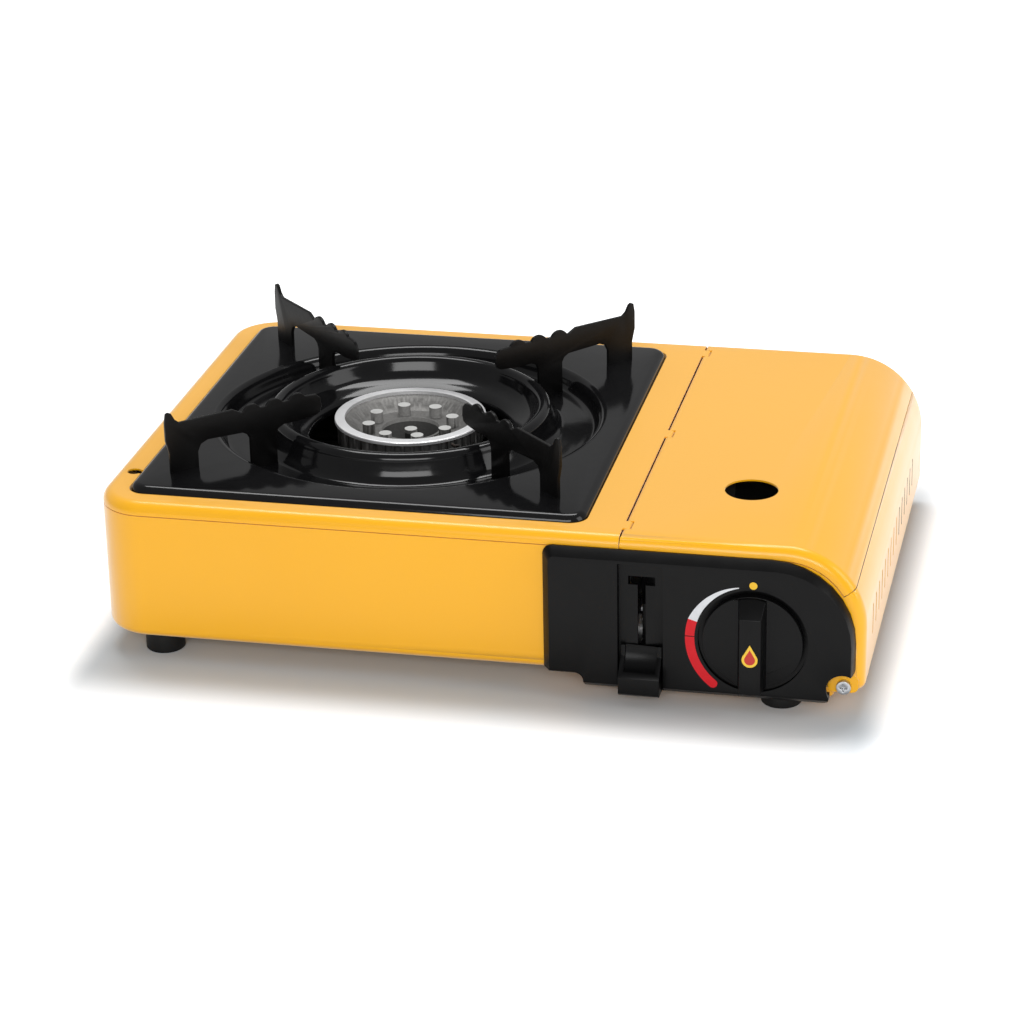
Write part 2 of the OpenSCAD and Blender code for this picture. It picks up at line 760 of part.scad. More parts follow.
module drip_pan() {
    x0 = opening_left + pan_gap;
    x1 = opening_x1 - pan_gap;
    y0 = opening_front + pan_gap;
    y1 = opening_y1 - pan_gap;
    r = opening_r;
    under = [for (i = [len(pan_line) - 1 : -1 : 0])
        pan_line[i] + sheet * side_normal(pan_line, i)];
    color(enamel) place() difference() {
        union() {
            for (c = [[x0, y0, 180], [x1, y0, 270], [x1, y1, 0], [x0, y1, 90]])
                translate([c[0] + (c[0] == x0 ? r : -r), c[1] + (c[1] == y0 ? r : -r), 0])
                    rotate([0, 0, c[2]]) rotate_extrude(angle = 90)
                        translate([r, 0]) mirror([1, 0]) pan_rim_profile();
            translate([0, y0, 0]) side_bar(x0 + r, x1 - r) pan_rim_profile();
            translate([0, y1, 0]) mirror([0, 1, 0]) side_bar(x0 + r, x1 - r)
                pan_rim_profile();
            translate([x0, 0, 0]) front_plate(y0 + r, y1 - r) pan_rim_profile();
            translate([x1, 0, 0]) mirror([1, 0, 0]) front_plate(y0 + r, y1 - r)
                pan_rim_profile();
            translate([0, 0, pan_z - sheet]) linear_extrude(sheet) difference() {
                round_rect(x0 + pan_edge_r, x1 - pan_edge_r, y0 + pan_edge_r,
                    y1 - pan_edge_r, r - pan_edge_r);
                translate([burner_x, burner_y]) circle(well_r + 1.2);
            }
            translate([burner_x, burner_y, 0]) rotate_extrude()
                polygon(concat(pan_line, under));
        }
        for (a = [45 : 90 : 315]) blade_slots(a);
    }
}

// Outline of a pot support (radius, height)
module blade_outline() {
    inner_leg_r0 = collar_r + 7.4;
    inner_leg_r1 = well_r - 6.2;
    outer_r0 = outer_leg_r - leg_w;
    top = pot_z - 0.6;
    window_z = pan_z + 11.4;
    bump_r = 5;
    polygon([
        [outer_r0, pan_z + 0.1], [outer_leg_r, pan_z + 0.1], [outer_leg_r, pan_z + 9.5],
        [outer_leg_r + 1.6, pan_z + 16], [outer_leg_r + 1.6, top + 1],
        [outer_leg_r + 0.9, pot_z + horn_rise - 0.6], [outer_leg_r - 0.4, pot_z + horn_rise],
        [outer_leg_r - 1.8, pot_z + horn_rise - 0.7], [outer_leg_r - 3.4, top + 1.8],
        [outer_leg_r - 5.6, top], [nose_r + 45, top], [nose_r + 41, top - 2.2],
        [nose_r + 7, top - 1.8], [nose_r + 2.4, top - 2.2], [nose_r + 0.4, top - 4.2],
        [nose_r, top - 8.5], [nose_r + 0.8, top - 11], [nose_r + 3, top - 12],
        [nose_r + 12, top - 12.8], [inner_leg_r0 - 4, top - 12.6],
        [inner_leg_r0 - 1, top - 14], [inner_leg_r0, top - 17], [inner_leg_r0, well_z + 0.1],
        [inner_leg_r1, well_z + 0.1], [inner_leg_r1, window_z - 3.6],
        [inner_leg_r1 + 1.2, window_z - 1.4], [inner_leg_r1 + 3.6, window_z],
        [outer_r0 - 5, window_z + 0.9], [outer_r0 - 1.6, window_z - 0.4],
        [outer_r0, window_z - 3.6]
    ]);
    for (i = [0 : 2]) translate([nose_r + 12.4 + i * 11.6, top - bump_r + 0.5]) circle(bump_r);
    // Tab that passes through the pan's slot
    translate([outer_r0 + 3.2, pan_z - 3]) square([leg_w - 6.4, 3.2]);
}

module pot_support(angle) {
    color(enamel) place() on_diagonal(angle) blade_outline();
}

// ---- Burner and gas path -------------------------------------------------

module burner_head() {
    head_r = ring_r - 1.6;
    bowl_r = ring_bore_r - 0.3;
    bridge_z = dish_z - 13;
    color(cast) place() translate([burner_x, burner_y, 0]) {
        difference() {
            union() {
                difference() {
                    union() {
                        rod_z(dish_z - 6, ring_z, 0, 0, head_r - 0.6);
                        translate([0, 0, base_top]) cylinder(r1 = base_lip_r,
                            r2 = head_r - 0.6, h = dish_z - 6 - base_top);
                        for (i = [0 : rib_count - 1]) rotate([0, 0, i * 360 / rib_count])
                            block(head_r - 2, head_r + 0.4, -0.7, 0.7, dish_z - 4, ring_z);
                    }
                    // Shallow bowl
                    rotate_extrude() polygon([[0, dish_z], [dish_r, dish_z],
                        [bowl_r, ring_z], [bowl_r, ring_z + 1], [0, ring_z + 1]]);
                }
                rod_z(dish_z - 1, dish_z + 0.6, 0, 0, burner_hole_r + 1.2);
                for (i = [0 : post_count - 1]) rotate([0, 0, (i + 0.5) * 360 / post_count])
                    rod_z(dish_z - 1, ring_z - 0.8, post_circle_r, 0, post_r);
            }
            rod_z(dish_z - 10, ring_z, 0, 0, burner_hole_r);
            rod_z(base_top - 1, ring_z, 0, 0, base_r - 2.5);
        }
        // Centre post on its bridge
        rod_z(bridge_z, dish_z + 0.5, 0, 0, post_r);
        block(2 - base_r, base_r - 2, -1.5, 1.5, bridge_z, bridge_z + 2.5);
    }
}

module burner_ring() {
    round_z = pan_z - ring_round;
    color(bright) place() translate([burner_x, burner_y, 0]) difference() {
        union() {
            rod_z(ring_z, round_z, 0, 0, ring_r);
            rod_z(round_z - eps, pan_z, 0, 0, ring_r - ring_round);
            translate([0, 0, round_z]) rotate_extrude() translate([ring_r - ring_round, 0])
                circle(ring_round);
        }
        rod_z(ring_z - 1, pan_z + 1, 0, 0, ring_bore_r);
    }
}

module burner_base() {
    color(cast) place() difference() {
        union() {
            rod_z(floor_z + 1.2, base_top, burner_x, burner_y, base_r);
            rod_z(base_top - 2, base_top, burner_x, burner_y, base_lip_r);
        }
        rod_z(floor_z + 3.5, base_top + 1, burner_x, burner_y, base_r - 2.5);
        tube_run(tube_r);
    }
}

module burner_bracket() {
    z1 = floor_z + 1.2;
    color(zinc) place() difference() {
        union() {
            block(burner_x - bracket_half, burner_x + bracket_half, burner_y - 12,
                burner_y + 12, floor_z, z1);
            for (s = [-1, 1]) block(burner_x + s * bracket_half - 0.6,
                burner_x + s * bracket_half + 0.6, burner_y - 12, burner_y + 12, floor_z,
                z1 + 5);
        }
        for (s = [-1, 1])
            rod_z(floor_z - 1, z1 + 1, burner_x + s * bracket_hole, burner_y, m4_r + fit);
    }
}

// Screws that hold the burner bracket to the floor
module bracket_screws() {
    color(zinc) place() for (s = [-1, 1]) translate([burner_x + s * bracket_hole, burner_y,
        floor_z + 1.2 + 2.2]) rotate([-90, 0, 0]) screw_y(2.2 + 1.2 + sheet);
}

// Path of the mixing tube: across from the jet, then diagonally to the burner
tube_x0 = reg_x0 - 14;
elbow_x = partition_x - 16;
tube_dir = [burner_x - elbow_x, burner_y - jet_y];
tube_len = norm(tube_dir) - 11.5;
module tube_run(r) {
    overrun = 3;
    rod_x(elbow_x - overrun, tube_x0 - 10, jet_y, tube_z, r);
    translate([elbow_x, jet_y, tube_z]) rotate([0, 0, atan2(tube_dir[1], tube_dir[0])])
        rotate([0, 90, 0]) translate([0, 0, -overrun]) cylinder(r = r, h = tube_len + overrun);
}

module mixing_tube() {
    bell_r = tube_r + 2;
    color(bright) place() difference() {
        union() {
            tube_run(tube_r);
            rod_z(tube_z - tube_r - 0.8, tube_z + tube_r + 0.8, elbow_x, jet_y, tube_r + 1.4);
            rod_x(tube_x0 - 11, tube_x0, jet_y, tube_z, bell_r);
        }
        tube_run(tube_r - sheet);
        rod_x(tube_x0 - 10.2, tube_x0 + 1, jet_y, tube_z, bell_r - sheet);
        // Air ports
        rod_z(tube_z - 20, tube_z + 20, tube_x0 - 5, jet_y, 3);
        rod_y(jet_y - 20, jet_y + 20, tube_x0 - 5, tube_z, 3);
    }
}

module regulator_body() {
    cap_z = (reg_z0 + reg_z1) / 2 + 1;
    color(cast) place() difference() {
        union() {
            block(reg_x0, reg_x1, reg_y0, reg_y1, reg_z0, reg_z1);
            rod_y(cam_y1 + 1, reg_y0 + 1, knob_x, knob_z, spindle_r + 4);
            rod_y(reg_y1 - 1, nozzle_y + 2, can_x, can_z, 9.5);
            block(reg_x0 + 4, reg_x1 - 4, reg_y0 + 9, reg_y1 - 4, trough_floor, reg_z0 + 1);
        }
        rod_y(cam_y1, reg_y0 + 6, knob_x, knob_z, spindle_r + fit);
        rod_y(inlet_y0, nozzle_y + 3, can_x, can_z, inlet_r);
        rod_y(inlet_y0 - seal_t, inlet_y0, can_x, can_z, seal_r);
        rod_x(reg_x1 - 3, reg_x1 + 1, (reg_y0 + reg_y1) / 2, cap_z, 9);
    }
}

module regulator_cap() {
    cap_z = (reg_z0 + reg_z1) / 2 + 1;
    y = (reg_y0 + reg_y1) / 2;
    color(zinc) place() {
        rod_x(reg_x1, reg_x1 + 3, y, cap_z, 11.8);
        rod_x(reg_x1 + 3, reg_x1 + 5, y, cap_z, 8);
    }
}

module regulator_screws() {
    cap_z = (reg_z0 + reg_z1) / 2 + 1;
    y = (reg_y0 + reg_y1) / 2;
    color(zinc) place() for (a = [45 : 90 : 315]) {
        sy = y + 10 * cos(a);
        sz = cap_z + 10 * sin(a);
        rod_x(reg_x1 + 3, reg_x1 + 4.2, sy, sz, 1.6);
    }
}

// Washer that lies in the groove behind the inlet's bore
module inlet_seal() {
    color(rubber) place() difference() {
        rod_y(inlet_y0 - seal_t, inlet_y0 - slide_gap, can_x, can_z, seal_r);
        rod_y(inlet_y0 - seal_t - 1, inlet_y0 + 1, can_x, can_z, 2.2);
    }
}

module jet_nozzle() {
    color(brass) place() {
        rod_x(reg_x0 - 8, reg_x0, jet_y, tube_z + 1.5, 3.5);
        rod_x(reg_x0 - 11, reg_x0 - 8, jet_y, tube_z + 1.5, 2);
    }
}

// ---- Igniter -------------------------------------------------------------

module igniter_body() {
    color(plastic) place() difference() {
        union() {
            block(plunger_x - 6, reg_x0 - 0.4, igniter_y0, igniter_y1, knob_z - 6, knob_z + 7);
            block(plunger_x - 6, reg_x0 - 0.4, igniter_y0, igniter_y0 + 4, trough_floor,
                knob_z - 6 + eps);
        }
        rod_y(igniter_y0 - 1, igniter_y0 + 13, plunger_x, knob_z, plunger_r + fit);
        rod_y(igniter_y1 - 2.4, igniter_y1 + 1, plunger_x, knob_z, wire_r + fit);
    }
}

module igniter_plunger() {
    color(zinc) place() rod_y(cam_y1 + 0.3, igniter_y0 + 5, plunger_x, knob_z, plunger_r);
}

// Ramp of steps that pushes the plunger back as the knob turns
module igniter_cam() {
    step_turn = knob_turn / cam_steps;
    rise = plunger_travel / cam_steps;
    color(plastic) place() difference() {
        union() {
            rod_y(cam_y0, cam_y1, knob_x, knob_z, cam_r);
            for (k = [1 : cam_steps - 1])
                translate([knob_x, cam_y1 - eps, knob_z]) rotate([90, 0, 180])
                    linear_extrude(k * rise - 0.3 + eps) intersection() {
                        difference() {
                            circle(cam_path_r + 2.5);
                            circle(cam_path_r - 2.5);
                        }
                        wedge(cam_r, (k + 0.6) * step_turn, (k + 1.6) * step_turn);
                    }
        }
        rod_y(0, cam_y1 + 1, knob_x, knob_z, spindle_r);
    }
}

module electrode_insulator() {
    color(ceramic) place() difference() {
        union() {
            rod_z(arm_z - 7, ring_z - 8, electrode_x, electrode_y, 2.5);
            rod_z(arm_z + arm_t, arm_z + arm_t + 4, electrode_x, electrode_y, 4);
        }
        rod_z(arm_z - 8, ring_z, electrode_x, electrode_y, 1);
    }
}

// Arm that carries the insulator on the burner base
module electrode_arm() {
    color(zinc) place() translate([burner_x, burner_y, 0]) rotate([0, 0, electrode_angle])
        difference() {
            union() {
                block(base_r - 0.5, electrode_r + 5, -4, 4, arm_z, arm_z + arm_t);
                rod_z(arm_z, arm_z + arm_t, 0, 0, base_r + 3);
            }
            rod_z(arm_z - 1, arm_z + 3, 0, 0, base_r + 0.05);
            rod_z(arm_z - 1, arm_z + 3, electrode_r, 0, 2.55);
        }
}

module electrode_tip() {
    color(zinc) place() translate([burner_x, burner_y, 0]) rotate([0, 0, electrode_angle]) {
        rod_z(arm_z - 6, ring_z, electrode_r, 0, 0.8);
        rod_x(electrode_r - 4.5, electrode_r, 0, ring_z - 1.4, 0.8);
    }
}

// High-tension lead from the igniter to the electrode
wire_points = [
    [plunger_x, igniter_y1 - 1.5, knob_z], [plunger_x, igniter_y1 + 1.2, knob_z],
    [plunger_x - 6, igniter_y1 + 1.6, knob_z - 2],
    [plunger_x - 12, igniter_y1 + 5, wire_z + 1],
    [partition_x + 5, igniter_y1 + 5, wire_z + 0.5],
    [partition_x - 20, igniter_y1 + 8, wire_z], [electrode_x, electrode_y, wire_z - 1],
    [electrode_x, electrode_y, arm_z - 6 - wire_lap]
];
module igniter_wire() {
    color(rubber) place() for (i = [0 : len(wire_points) - 2]) {
        d = wire_points[i + 1] - wire_points[i];
        translate(wire_points[i]) rotate([0, acos(d[2] / norm(d)), atan2(d[1], d[0])])
            translate([0, 0, -wire_lap])
                cylinder(r = wire_r, h = norm(d) + 2 * wire_lap, $fn = 12);
    }
}

// ---- Cartridge compartment -----------------------------------------------

module cartridge_collar() {
    y = nozzle_y + 0.5;
    half = 0.66 * can_r;
    x1 = trough_x1 - sheet - slide_gap;
    color(zinc) place() difference() {
        union() {
            block(can_x - half, x1, y, y + 1.2, trough_floor, can_z + 24);
            block(can_x - half, can_x + half, y - 1, y + 1.2, trough_floor, trough_floor + 1);
        }
        rod_y(y - 2, y + 2, can_x, can_z, 12);
        // Notch that locates the cartridge's flange
        block(can_x - 3, can_x + 3, y - 2, y + 2, can_z, can_z + 18);
    }
}

module cartridge_rests() {
    half = 0.78 * can_r;
    gap = 0.24 * can_r;
    color(zinc) place() for (y = [nozzle_y + can_len / 6, can_end_y - 0.24 * can_len])
        difference() {
            block(can_x - half, can_x + half, y, y + 3, trough_floor, trough_floor + 5);
            rod_y(y - 1, y + 4, can_x, can_z, can_r + can_clearance - 0.2);
            block(can_x - gap, can_x + gap, y - 1, y + 4, trough_z, trough_floor + 5 + eps);
        }
}

module link_guides() {
    color(zinc) place() for (y = guide_ys) difference() {
        union() {
            block(link_x - 12, link_x + 4.5, y, y + 1.2, trough_floor, link_z + link_h / 2 + 4);
            block(link_x - 12, link_x + 4.5, y, y + 8, trough_floor, trough_floor + 1.2);
        }
        block(link_x - slide_gap, link_x + link_t + slide_gap, y - 1, y + 2,
            link_z - link_h / 2 - slide_gap, link_z + link_h / 2 + slide_gap);
    }
}

// Upright channel that guides the lever's rear edge
module lever_guide() {
    color(zinc) place() difference() {
        union() {
            block(lever_x - 3.3, lever_x + 3.3, lever_y1 - 1.4, lever_y1 + 2.2, trough_floor,
                lever_z1 + lever_travel - 1);
            block(lever_x - 7.5, lever_x - 3.2, lever_y1 - 1.4, lever_y1 + 2.2, trough_floor,
                trough_floor + 3);
        }
        block(lever_x - lever_t / 2 - slide_gap, lever_x + lever_t / 2 + slide_gap,
            lever_y1 - 2, lever_y1 + slide_gap, trough_floor + 0.5, body_h);
    }
}

module cartridge_pusher() {
    y = can_end_y + 2;
    color(zinc) place() {
        block(link_x - 2, can_x + 20, y, y + 1.5, can_z - 18, can_z + 18);
        rod_y(y - 1.5, y, can_x, can_z, 16);
    }
}

module link_bar() {
    color(zinc) place() {
        block(link_x, link_x + link_t, link_y - 3, can_end_y + 2, link_z - link_h / 2,
            link_z + link_h / 2);
        rod_x(lever_x - lever_t / 2 - 1, link_x, link_y, link_z, link_pin_r);
    }
}

// ---- Lever ---------------------------------------------------------------

module lever_plate() {
    slot_r = link_pin_r + slide_gap;
    slot_angle = atan2(lever_travel, pusher_travel);
    slot_len = norm([lever_travel, pusher_travel]);
    color(zinc) place() difference() {
        union() {
            block(lever_x - lever_t / 2, lever_x + lever_t / 2, lever_y0, lever_y1, lever_z0,
                lever_z1);
            block(lever_x - lever_t / 2, lever_x + lever_t / 2, channel_y - slide_gap,
                lever_y0 + 1, stem_z0, stem_z0 + stem_h);
        }
        // Slanted slot that moves the link's pin as the lever rises
        translate([lever_x, link_y, link_z]) rotate([90 - slot_angle, 0, 0]) {
            translate([-5, 0, -slot_len]) rotate([0, 90, 0]) cylinder(r = slot_r, h = 10);
            translate([-5, 0, 0]) rotate([0, 90, 0]) cylinder(r = slot_r, h = 10);
            translate([-5, -slot_r, -slot_len]) cube([10, 2 * slot_r, slot_len]);
        }
    }
}

module lever_paddle() {
    back_y = channel_y - slide_gap;
    z0 = panel_z + 0.4;
    half_w = channel_w / 2 - 0.9;
    color(plastic) place() difference() {
        side_bar(lever_x - half_w, lever_x + half_w) polygon([
            [back_y, z0], [back_y, stem_z0 + stem_h + 1.4], [back_y - 1.6, stem_z0 + stem_h + 1.4],
            [back_y - 1.6, z0 + 16], [-10, z0 + 9.6], [-10.8, z0 + 8.4], [-10.8, z0 + 1.2],
            [-9.6, z0]
        ]);
        // Finger hollow on the paddle's upper side
        rod_x(lever_x - half_w + 2, lever_x + half_w - 2, -11.4, z0 + 19.6, 9.4);
    }
}

// ---- Control panel and knob ----------------------------------------------

// Whole outline of the panel, inset by d, in front view
module panel_outline(d) {
    small_r = 4 - d / 2;
    top_r = panel_r - d;
    round_rect(panel_x0 + d, panel_cx + eps, panel_z + d, panel_top - d, small_r);
    round_rect(panel_x1 - 2 * top_r, panel_x1 - d, panel_z + d, panel_cz + eps, small_r);
    intersection() {
        translate([panel_cx, panel_cz]) circle(top_r);
        translate([panel_cx - eps, panel_cz - eps]) square(top_r + 1);
    }
}

// What rounds a convex lower right corner at the origin, in front view
module round_corner(r) {
    translate([-r, -5]) difference() {
        square([r + 5, r + 5]);
        translate([0, r + 5]) circle(r);
    }
}

// Corners that the panel leaves free, in front view
module panel_cuts() {
    step_r = 4;
    step_x = panel_x0 + 18;
    step_z = panel_z + 7.5;
    corner_x = screw_x - 6;
    corner_z = screw_z + m4_head_r + 3;
    difference() {
        translate([panel_x0 - 5, panel_z - 5]) square([step_x - panel_x0 + 5, step_z - panel_z + 5]);
        translate([step_x - step_r, step_z - step_r]) difference() {
            square(step_r + 1);
            circle(step_r);
        }
    }
    // Room for the corner screw and its tab
    translate([screw_x, screw_z]) circle(tab_r + slide_gap);
    translate([screw_x, panel_z - 5]) square([20, corner_z - panel_z + 5]);
    translate([corner_x, panel_z - 5]) square([20, screw_z - panel_z + 2]);
    translate([corner_x, panel_z]) round_corner(3.5);
    translate([panel_x1, corner_z]) round_corner(2);
}

module control_panel() {
    face_y = -panel_depth;
    color(plastic) place() difference() {
        union() {
            difference() {
                hull() {
                    front_plate(face_y + bevel_d, panel_back_y) panel_outline(0, $fn = 32);
                    front_plate(face_y, face_y + 0.2) panel_outline(bevel_w, $fn = 32);
                    translate([bevel_w - bevel_right, 0, 0])
                        front_plate(face_y, face_y + 0.2) panel_outline(bevel_w, $fn = 32);
                }
                front_plate(face_y + panel_t, 1) panel_outline(bevel_w + panel_t - 0.4);
                front_plate(face_y - 1, 1) panel_cuts();
            }
            block(channel_x0 - 1.6, channel_x1 + 1.6, face_y + 1, panel_back_y - 0.2,
                panel_z + bevel_w, channel_top + 1.6);
            rod_y(face_y + 1, recess_y + 1.6, knob_x, knob_z, knob_r + knob_gap + 2);
        }
        // Channel, slot and cross-bar of the lever
        block(channel_x0, channel_x1, face_y - 1, channel_y, panel_z - 1, channel_top);
        block(lever_x - slot_w / 2, lever_x + slot_w / 2, face_y - 1, 1, stem_z0 - 0.6,
            stem_top + 4);
        block(lever_x - slot_bar / 2, lever_x + slot_bar / 2, face_y - 1, 1, stem_top + 2,
            stem_top + 6);
        // Round recess and hub hole of the knob
        rod_y(face_y - 1, recess_y, knob_x, knob_z, knob_r + knob_gap);
        rod_y(face_y - 1, 1, knob_x, knob_z, spindle_r + 2.2);
    }
}

module knob() {
    disc_y = recess_y - 0.3;
    disc_front = disc_y - 3.2;
    base_half = grip_w / 2 + 1.6;
    color(plastic) place() translate([knob_x, 0, knob_z]) difference() {
        union() {
            rod_y(disc_front, disc_y, 0, 0, knob_r);
            rod_y(disc_y - eps, 1, 0, 0, spindle_r + 1.8);
            intersection() {
                translate([0, 0, -knob_r]) linear_extrude(2 * knob_r) polygon([
                    [-base_half, disc_front + eps], [-grip_w / 2, -front_reach],
                    [grip_w / 2, -front_reach], [base_half, disc_front + eps]
                ]);
                rod_y(-front_reach, disc_y, 0, 0, knob_r - 0.4);
            }
        }
        pointer_shape(-front_reach - 1);
        // Slope at the grip's pointing end
        translate([0, -front_reach, 13.8]) rotate([-42, 0, 0])
            translate([-10, -20, 0]) cube([20, 20, 30]);
        rod_y(disc_y + 0.8, 2, 0, 0, spindle_r);
    }
}

// Drop let into the grip's face below the knob's axis, point upwards
module pointer_shape(y0) {
    tip = 2 * drop_r + 0.1;
    side = asin(drop_r / tip);
    translate([0, 0, -4.4]) front_plate(y0, pointer_y) {
        circle(drop_r);
        polygon([[0, 0], [drop_r * cos(side), drop_r * sin(side)], [0, tip],
            [-drop_r * cos(side), drop_r * sin(side)]]);
    }
}

module knob_pointer() {
    color([0.85, 0.25, 0.1]) place() translate([knob_x, 0, knob_z])
        pointer_shape(-front_reach);
}

module valve_spindle() {
    color(brass) place() rod_y(recess_y + 0.5, reg_y0 + 5, knob_x, knob_z, spindle_r);
}

// ---- Feet and screws -----------------------------------------------------

// One rubber foot between the table and the sheet above it: [x, y, height]
module foot(f) {
    recess = min(f[2] / 2, 3);
    color(rubber) place() difference() {
        rod_z(0, f[2], f[0], f[1], foot_r);
        rod_z(-1, recess, f[0], f[1], m4_head_r + 0.8);
        rod_z(-1, f[2] + 1, f[0], f[1], m4_r + fit);
    }
}

module foot_front_left() foot(feet[0]);
module foot_front_right() foot(feet[1]);
module foot_back_left() foot(feet[2]);
module foot_back_right() foot(feet[3]);

// Screws through the feet, heads in the feet's recesses
module foot_screws() {
    color(zinc) place() for (f = feet) {
        recess = min(f[2] / 2, 3);
        translate([f[0], f[1], recess - 2.2]) rotate([90, 0, 0])
            screw_y(f[2] - recess + 2.2 + sheet);
    }
}

module corner_screw() {
    color(zinc) place() translate([screw_x, -3.1, screw_z]) screw_y(9);
}

// ---- Drawing -------------------------------------------------------------

lower_body();
top_plate();
control_panel();
partition();
hinge_pin();
burner_head();
burner_ring();
burner_base();
burner_bracket();
mixing_tube();
regulator_body();
regulator_cap();
regulator_screws();
inlet_seal();
jet_nozzle();
igniter_body();
electrode_insulator();
electrode_arm();
electrode_tip();
igniter_wire();
cartridge_collar();
cartridge_rests();
link_guides();
lever_guide();
foot_front_left();
foot_front_right();
foot_back_left();
foot_back_right();
foot_screws();
corner_screw();
bracket_screws();
lid();
drip_pan();
pot_support(225);  // pot_support_front_left
pot_support(315);  // pot_support_front_right
pot_support(135);  // pot_support_back_left
pot_support(45);  // pot_support_back_right
knob();
knob_pointer();
valve_spindle();
igniter_cam();
igniter_plunger();
lever_paddle();
lever_plate();
link_bar();
cartridge_pusher();
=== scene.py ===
# %% [markdown]
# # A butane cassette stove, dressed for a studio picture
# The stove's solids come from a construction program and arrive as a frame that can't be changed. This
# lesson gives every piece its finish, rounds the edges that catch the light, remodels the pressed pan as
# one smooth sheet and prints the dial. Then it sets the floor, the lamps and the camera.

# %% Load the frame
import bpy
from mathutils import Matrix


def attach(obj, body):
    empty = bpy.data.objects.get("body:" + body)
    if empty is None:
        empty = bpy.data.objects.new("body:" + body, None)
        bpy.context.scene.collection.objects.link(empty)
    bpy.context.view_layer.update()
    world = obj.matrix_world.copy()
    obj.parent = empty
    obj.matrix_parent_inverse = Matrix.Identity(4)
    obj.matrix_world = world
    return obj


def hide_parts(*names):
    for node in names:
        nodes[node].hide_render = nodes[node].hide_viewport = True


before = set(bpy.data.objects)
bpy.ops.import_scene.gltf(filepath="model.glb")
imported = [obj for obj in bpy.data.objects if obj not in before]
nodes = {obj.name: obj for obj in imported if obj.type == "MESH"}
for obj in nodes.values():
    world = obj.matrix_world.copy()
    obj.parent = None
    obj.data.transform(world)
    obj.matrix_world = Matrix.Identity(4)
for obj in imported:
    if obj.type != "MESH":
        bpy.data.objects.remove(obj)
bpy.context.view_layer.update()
import math
import bmesh
import bpy
from mathutils import Matrix, Vector

MM = 0.001

# %% [markdown]
# ## Workshop measures
# The solids were drawn from the body's left, front, bottom corner, and then moved so that the origin lies
# at the centre of the plan. Keeping the workshop's own measures makes every later number easy to check with
# a ruler, so a small helper turns millimetres from that corner into metres in the frame. The panel's parts
# reach 15 mm out of the body's front, which moves the centre of the plan forward.

# %% Convert workshop measures
BODY_W, BODY_D, REACH = 340, 240, 15


def spot(x, y, z):
    """A workshop point in millimetres, as a point of the frame in metres."""
    return Vector(((x - BODY_W / 2) * MM, (y - (BODY_D - REACH) / 2) * MM, z * MM))


burner = spot(115.25, 118.5, 0)
knob_axis = spot(293, 0, 34)
print("burner axis", tuple(round(v, 4) for v in burner))

# %% [markdown]
# ## A small language for shaders
# A finish is a network of nodes. Written out link by link it hides its own idea, so one class wraps a
# socket and lets Python's operators build the Math nodes, and another holds a material and makes any other
# node by name. Only values that vary over the surface go through nodes; a uniform number sits on the
# shader's socket.

# %% Wrap a socket
class Signal:
    """A number that varies over a surface. Python's operators add Math nodes to it."""

    def __init__(self, tree, socket):
        self.tree, self.socket = tree, socket

    def math(self, operation, *values):
        """One Math node. Each value is a number or another signal."""
        node = self.tree.nodes.new("ShaderNodeMath")
        node.operation = operation
        for value, inlet in zip(values, node.inputs):
            if isinstance(value, Signal):
                self.tree.links.new(value.socket, inlet)
            else:
                inlet.default_value = value
        return Signal(self.tree, node.outputs[0])

    def root(self):
        return self.math("SQRT", self)

    def sine(self):
        return self.math("SINE", self)

    def from_zero(self):
        """How far the number is from zero, whatever its sign."""
        return self.math("ABSOLUTE", self)

    def at_least(self, low):
        return self.math("MAXIMUM", self, low)

    def at_most(self, high):
        return self.math("MINIMUM", self, high)

    def __add__(self, other):
        return self.math("ADD", self, other)

    def __radd__(self, other):
        return self.math("ADD", other, self)

    def __sub__(self, other):
        return self.math("SUBTRACT", self, other)

    def __rsub__(self, other):
        return self.math("SUBTRACT", other, self)

    def __mul__(self, other):
        return self.math("MULTIPLY", self, other)

    def __rmul__(self, other):
        return self.math("MULTIPLY", other, self)

    def __gt__(self, other):
        return self.math("GREATER_THAN", self, other)

    def __lt__(self, other):
        return self.math("LESS_THAN", self, other)


print("signals can be added, subtracted, multiplied and compared")


# %% Build a material
COAT_ROUGHNESS, SHEEN_ROUGHNESS = 0.08, 0.45


